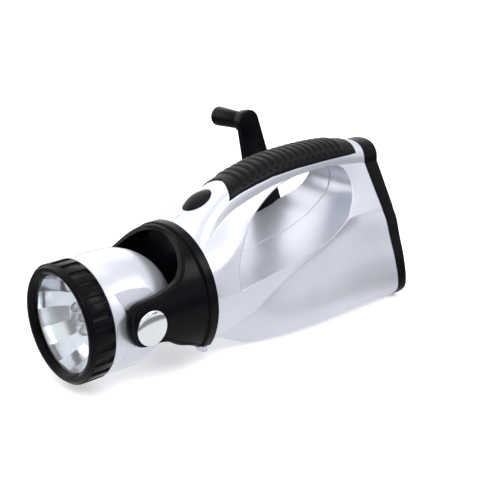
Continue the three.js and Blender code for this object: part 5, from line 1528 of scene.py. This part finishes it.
    def lens(self) -> Piece:
        """Builds the clear window."""
        front = self.lens_seat + SEAT_GAP
        crown = self.lens_opening - FIT_GAP
        back = front + self.lens_thickness
        dome = [(front - self.lens_crown * (1 - (k / 12) ** 2), crown * k / 12) for k in range(13)]
        profile = [*dome, (front, self.lens_radius), (back, self.lens_radius), (back, 0)]
        lens = as_object("lens_polished", turned(profile, self.steps))
        return finished(lens, CLEAR_ACRYLIC, Body.HEAD, "lens", sharp=40.0)

    def reflector(self) -> Piece:
        """Builds the dish of flat wedges, with a rim under the seal."""
        rim = self.lens_seat + 2 * SEAT_GAP + self.lens_thickness + self.seal + SEAT_GAP
        curve = spline(self.reflector_curve, 3)
        dish = [
            (mix(rim, self.reflector_base_x, a), mix(self.reflector_base, self.reflector_mouth, b)) for a, b in curve
        ]
        back = [(x, radius + self.reflector_wall) for x, radius in dish[1:]][::-1]
        rim_back = rim + self.reflector_wall
        edge = [(rim_back, self.reflector_mouth), (rim_back, self.reflector_rim), (rim, self.reflector_rim)]
        profile = [*dish, *back, *edge]
        piece = as_object("reflector_metallised", turned(profile, self.reflector_facets, ring=True))
        return finished(piece, VACUUM_ALUMINIUM, Body.HEAD, "reflector", sharp=12.0)

    def lamps(self) -> list[Piece]:
        """Builds the seven round-nosed lamps."""
        straight = self.led_length - self.led_radius
        nose = [(-straight - self.led_radius * s, self.led_radius * c) for s, c in quarter(12)[:-1]]
        flange = [(0, self.led_flange), (-self.led_flange_height, self.led_flange)]
        profile = [(0, 0), *flange, (-self.led_step, self.led_radius), *nose, (-self.led_length, 0)]
        places = [(0.0, 0.0)] + [
            (self.led_ring * math.sin(t), self.led_ring * math.cos(t))
            for t in (2 * math.pi * k / self.led_count for k in range(self.led_count))
        ]
        made = []
        for k, (y, z) in enumerate(places, start=1):
            lamp = as_object(f"led_{k}_cast", turned(profile, PIN_STEPS, "X", spot(self.reflector_base_x, y, z)))
            made.append(finished(lamp, LAMP_EPOXY, Body.HEAD, f"led_{k}", sharp=50.0))
        return made

    def build(self) -> list[Piece]:
        """Builds every piece of the head."""
        return [self.shell(), self.bezel(), self.lens(), self.reflector(), *self.lamps()]


# Crank


@dataclass
class Crank:
    """The winding handle with its knob and screw."""

    radius: float = 69.5
    lean: float = 14.3
    inner_y: float = 40.0
    thickness: float = 4.0
    hub_radius: float = 13.0
    tip_radius: float = 7.4
    bevel: float = 0.8
    hub_step: float = 1.6
    hub_step_radius: float = 8.0
    shaft_outer: float = 41.6
    shaft_radius: float = 3.0
    web: float = 0.9
    pocket_radius: float = 4.3
    tip_boss: float = 3.2
    pin_radius: float = 2.0
    knob_length: float = 22.0
    knob_root: float = 5.0
    knob_end: float = 5.9
    knob_round: float = 1.0
    knob_pocket: float = 2.0
    pin_head: float = 3.4

    def leaned(self, x: float, z: float) -> Point:
        """A place on the arm, which is laid out straight up from its hub, as it leans."""
        turn = math.radians(self.lean)
        return (CRANK_X + x * math.cos(turn) - z * math.sin(turn), CRANK_Z + x * math.sin(turn) + z * math.cos(turn))

    def axis(self, along: float) -> Vector:
        """A point on the arm's middle line, a distance from the hub, at y zero."""
        x, z = self.leaned(0, along)
        return spot(x, 0, z)

    def arm(self) -> Piece:
        """Builds the arm with its round edges, tip boss, hub and pockets."""
        circles = [(*self.leaned(0, 0), self.hub_radius), (*self.leaned(0, self.radius), self.tip_radius)]
        outline = hull_outline(circles, 96)
        arm_outer = self.inner_y + self.thickness
        arm = as_object("crank_arm_moulded", prism(outline, self.inner_y, arm_outer))
        rounded(arm, self.bevel, segments=3, angle=60.0)
        boss_outer = arm_outer + self.tip_boss
        small = self.tip_radius - self.bevel
        boss = [
            (arm_outer - 1, 0), (arm_outer - 1, small), *reversed(eased(boss_outer, small, -0.5, 0.15)),
            (boss_outer, 0),
        ]
        cut(arm, turned(boss, HUB_STEPS, "Y", self.axis(self.radius)), Cut.JOIN)
        step = bar(self.inner_y - self.hub_step, self.inner_y + 0.5, self.hub_step_radius)
        cut(arm, turned(step, HUB_STEPS, "Y", self.axis(0)), Cut.JOIN)
        low = self.shaft_outer + SEAT_GAP
        for profile, place in (
            (bar(0, low, self.shaft_radius + SEAT_GAP), 0.0),
            (bar(0, REACH, SCREW.shank_radius + FIT_GAP), 0.0),
            (bar(low + self.web, REACH, self.pocket_radius), 0.0),
            (bar(self.inner_y + self.web, REACH, self.pin_radius + SEAT_GAP), self.radius),
        ):
            cut(arm, turned(profile, BORE_STEPS, "Y", self.axis(place)))
        return finished(arm, SATIN_ABS, Body.CRANK, "crank_arm", sharp=30.0)

    def knob(self) -> Piece:
        """Builds the turning knob."""
        foot = self.inner_y + self.thickness + self.tip_boss + SEAT_GAP
        end = foot + self.knob_length
        hole, pocket = self.pin_radius + 0.1, self.pin_head + SEAT_GAP
        soft = self.knob_round
        edge = [(end - soft + soft * s, self.knob_end - soft + soft * c) for s, c in quarter(6)]
        profile = [
            (foot, hole), *eased(foot, self.knob_root, 0.6, 0.2), *edge,
            (end, pocket), (end - self.knob_pocket, pocket), (end - self.knob_pocket, hole),
        ]
        knob = as_object("crank_knob_moulded", turned(profile, BUTTON_STEPS, "Y", self.axis(self.radius), ring=True))
        return finished(knob, SATIN_ABS, Body.KNOB, "crank_knob", sharp=40.0)

    def build(self) -> list[Piece]:
        """Builds the arm, the knob and the screw that holds the arm."""
        screw = CrossScrew(head_radius=3.9, head=1.5, length=8.0)
        top = self.axis(0) + Vector((0, (self.shaft_outer + SEAT_GAP + self.web + SEAT_GAP + screw.head) * MM, 0))
        return [self.arm(), self.knob(), screw.build("crank_screw", "Y", top, Body.CRANK)]


# Inside pieces


def dress_inside() -> None:
    """Gives every solid that is still shown the finish of its material slot."""
    boards = {"charge_board": LACQUERED_BOARD, "switch_board": LACQUERED_BOARD, "led_board": WHITE_BOARD}
    for name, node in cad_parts.items():
        slots = [s.material.name for s in node.material_slots if s.material]
        finish = boards.get(name)
        for slot in slots:
            key = next((k for k in SLOT_FINISHES if slot.startswith(k)), None)
            finish = finish or SLOT_FINISHES.get(key)
        if finish is None:
            log.warning("%s: no finish for %s", name, slots)
            continue
        for slot in node.material_slots:
            slot.material = material_of(finish)
        log.info("%s: dressed in %s", name, finish.name)


# Scene


def gloss_or_glass(tree: bpy.types.NodeTree, rays: bpy.types.bpy_prop_collection) -> bpy.types.NodeSocket:
    """One where a ray has met gloss or passed through glass, from a light path's outputs."""
    kinds = {0: rays["Is Glossy Ray"], 1: rays["Is Transmission Ray"]}
    return add_node(tree, "Math", {"operation": "MAXIMUM"}, kinds).outputs["Value"]


@dataclass
class Studio:
    """Floor, lamps, surroundings and camera."""

    azimuth: float = -41.8
    elevation: float = 19.1
    roll: float = -0.9
    camera_mm: tuple[float, float, float] = (-445.8, -395.3, 191.9)
    lens: float = 72.0
    sensor_width: float = 36.0
    seen_from: float = 0.01  # m, the nearest and the farthest that the camera sees
    seen_to: float = 100.0
    floor_size: float = 6.0
    floor_glow: float = 0.4
    painted_glow_patch: Point = (-0.16, -0.03)  # m, middle of the painted pool of light that gloss and glass see on the floor, brightest there
    painted_glow_fall: tuple[float, float, float] = (0.12, 0.21, 0.3)  # m to its start and end, and the level there
    room_levels: tuple[Point, Point] = ((-0.15, 0.55), (0.5, 0.85))  # heights, and how bright the room is there
    dark_flatten: tuple[float, float, float] = (1, 1, 1.8)
    dark_places: tuple[tuple[tuple[float, float, float], float, float, float], ...] = (
        ((0.1, -0.97, -0.12), 0.1, 0.6, 0.35), ((0.63, -0.69, 0.3), 0.12, 0.26, 0.08),
        ((-0.9, -0.3, 0.15), 0.25, 0.75, 0.12),
    )  # direction, where it starts and ends, and its level
    target: tuple[float, float, float] = (-0.1, 0, 0.01)
    lamps: tuple[tuple[str, Point, float, float, float], ...] = (
        ("key", (-0.52, -0.62), 0.82, 0.4, 2.2), ("fill", (0.35, -0.7), 0.75, 0.45, 3.0),
        ("top", (-0.1, 0.2), 0.95, 0.6, 1.0), ("rear", (0.3, 0.85), 0.6, 1.0, 2.4),
        ("side", (-0.58, 0.77), 0.4, 0.7, 2.0),
    )  # name, place, height, size and power

    def camera(self) -> None:
        """Places the camera at the photograph's viewpoint."""
        turn, lift, roll = (math.radians(a) for a in (self.azimuth, self.elevation, self.roll))
        right = Vector((math.cos(turn), math.sin(turn), 0))
        back = Vector((math.sin(turn) * math.cos(lift), -math.cos(turn) * math.cos(lift), math.sin(lift)))
        up = back.cross(right)
        right, up = math.cos(roll) * right + math.sin(roll) * up, math.cos(roll) * up - math.sin(roll) * right
        data = bpy.data.cameras.new("camera")
        data.lens, data.sensor_width = self.lens, self.sensor_width
        data.clip_start, data.clip_end = self.seen_from, self.seen_to
        camera = bpy.data.objects.new("camera", data)
        bpy.context.scene.collection.objects.link(camera)
        matrix = Matrix((right, up, back)).transposed().to_4x4()
        matrix.translation = Vector(self.camera_mm) * MM
        camera.matrix_world = matrix
        bpy.context.scene.camera = camera

    def lamp(self, name: str, place: Point, height: float, size: float, power: float) -> None:
        """A soft square lamp that faces the torch, in metres and watts."""
        data = bpy.data.lights.new(name, "AREA")
        data.shape, data.size, data.energy = "SQUARE", size, power
        lamp = bpy.data.objects.new(name, data)
        bpy.context.scene.collection.objects.link(lamp)
        lamp.location = (*place, height)
        lamp.rotation_euler = (Vector(self.target) - lamp.location).to_track_quat("-Z", "Y").to_euler()

    def world(self) -> None:
        """A white room that gloss and glass see with some soft dark places near the horizon."""
        world = bpy.data.worlds.new("studio")
        tree = empty_tree(world)
        direction = add_node(tree, "TexCoord").outputs["Generated"]
        height = add_node(tree, "SeparateXYZ", links={"Vector": direction}).outputs["Z"]
        level = mapped(tree, height, *self.room_levels)
        mirrored = None
        for place, inner, outer, depth in self.dark_places:
            away = add_node(tree, "VectorMath", {"operation": "SUBTRACT", 1: place}, {0: direction}).outputs[0]
            away = add_node(tree, "VectorMath", {"operation": "MULTIPLY", 1: self.dark_flatten}, {0: away}).outputs[0]
            away = add_node(tree, "VectorMath", {"operation": "LENGTH"}, {0: away}).outputs["Value"]
            shade = mapped(tree, away, (inner, outer), (depth, 1.0), "SMOOTHSTEP")
            if mirrored is not None:
                shade = add_node(tree, "Math", {"operation": "MULTIPLY"}, {0: mirrored, 1: shade}).outputs["Value"]
            mirrored = shade
        room = add_node(tree, "Background", links={"Color": level}).outputs["Background"]
        gloss = add_node(tree, "Background", links={"Color": mirrored}).outputs["Background"]
        white = add_node(tree, "Background", {"Color": (1, 1, 1, 1)}).outputs["Background"]
        rays = add_node(tree, "LightPath").outputs
        shiny = gloss_or_glass(tree, rays)
        blend = add_node(tree, "MixShader", links={0: shiny, 1: room, 2: gloss}).outputs["Shader"]
        blend = add_node(tree, "MixShader", links={0: rays["Is Camera Ray"], 1: blend, 2: white})
        add_node(tree, "OutputWorld", links={"Surface": blend.outputs["Shader"]})
        bpy.context.scene.world = world

    def floor(self) -> None:
        """A pale floor that keeps the torch's shadow; gloss and glass see a painted pool of light instead, which
        fades with distance from a patch under the torch.
        """
        bm = bmesh.new()
        bmesh.ops.create_grid(bm, x_segments=1, y_segments=1, size=self.floor_size)
        bmesh.ops.translate(bm, vec=(0, 0, GROUND * MM), verts=bm.verts)
        floor = as_object("floor", bm)
        material = bpy.data.materials.new("pale floor")
        tree = empty_tree(material)
        matt = add_node(tree, "BsdfDiffuse", {"Color": (0.9, 0.9, 0.9, 1)}).outputs["BSDF"]
        glow = add_node(tree, "Emission", {"Color": (1, 1, 1, 1), "Strength": self.floor_glow}).outputs["Emission"]
        dark = add_node(tree, "Emission", {"Strength": 0.0}).outputs["Emission"]
        rays = add_node(tree, "LightPath").outputs
        extra = add_node(tree, "MixShader", links={0: rays["Is Camera Ray"], 1: dark, 2: glow}).outputs["Shader"]
        seen = add_node(tree, "AddShader", links={0: matt, 1: extra}).outputs["Shader"]
        place = add_node(tree, "TexCoord").outputs["Object"]
        # Painted glow: gloss and glass see an emission here, brightest at the patch and fading with distance, in
        # place of the lit floor
        patch = {"operation": "DISTANCE", 1: (*self.painted_glow_patch, GROUND * MM)}
        away = add_node(tree, "VectorMath", patch, {0: place}).outputs["Value"]
        near, far, low = self.painted_glow_fall
        level = mapped(tree, away, (near, far), (1.0, low), "SMOOTHSTEP")
        mirrored = add_node(tree, "Emission", {"Strength": 1.0}, {"Color": level}).outputs["Emission"]
        shiny = gloss_or_glass(tree, rays)
        total = add_node(tree, "MixShader", links={0: shiny, 1: seen, 2: mirrored})
        add_node(tree, "OutputMaterial", links={"Surface": total.outputs["Shader"]})
        floor.data.materials.append(material)

    def build(self) -> None:
        """Sets up the whole scene round the torch."""
        bpy.context.scene.view_settings.view_transform = "Standard"
        self.camera()
        self.world()
        self.floor()
        for lamp in self.lamps:
            self.lamp(*lamp)


def main() -> None:
    """Builds the torch's pieces in order and reports each."""
    logging.basicConfig(level=logging.INFO, format="%(name)s: %(message)s")
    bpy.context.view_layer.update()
    for assembly in (Shells(), PAD, SWITCH, RearCover(), Yoke(), Head(), Crank()):
        assembly.build()
    dress_inside()
    Studio().build()


if __name__ == "__main__":
    main()
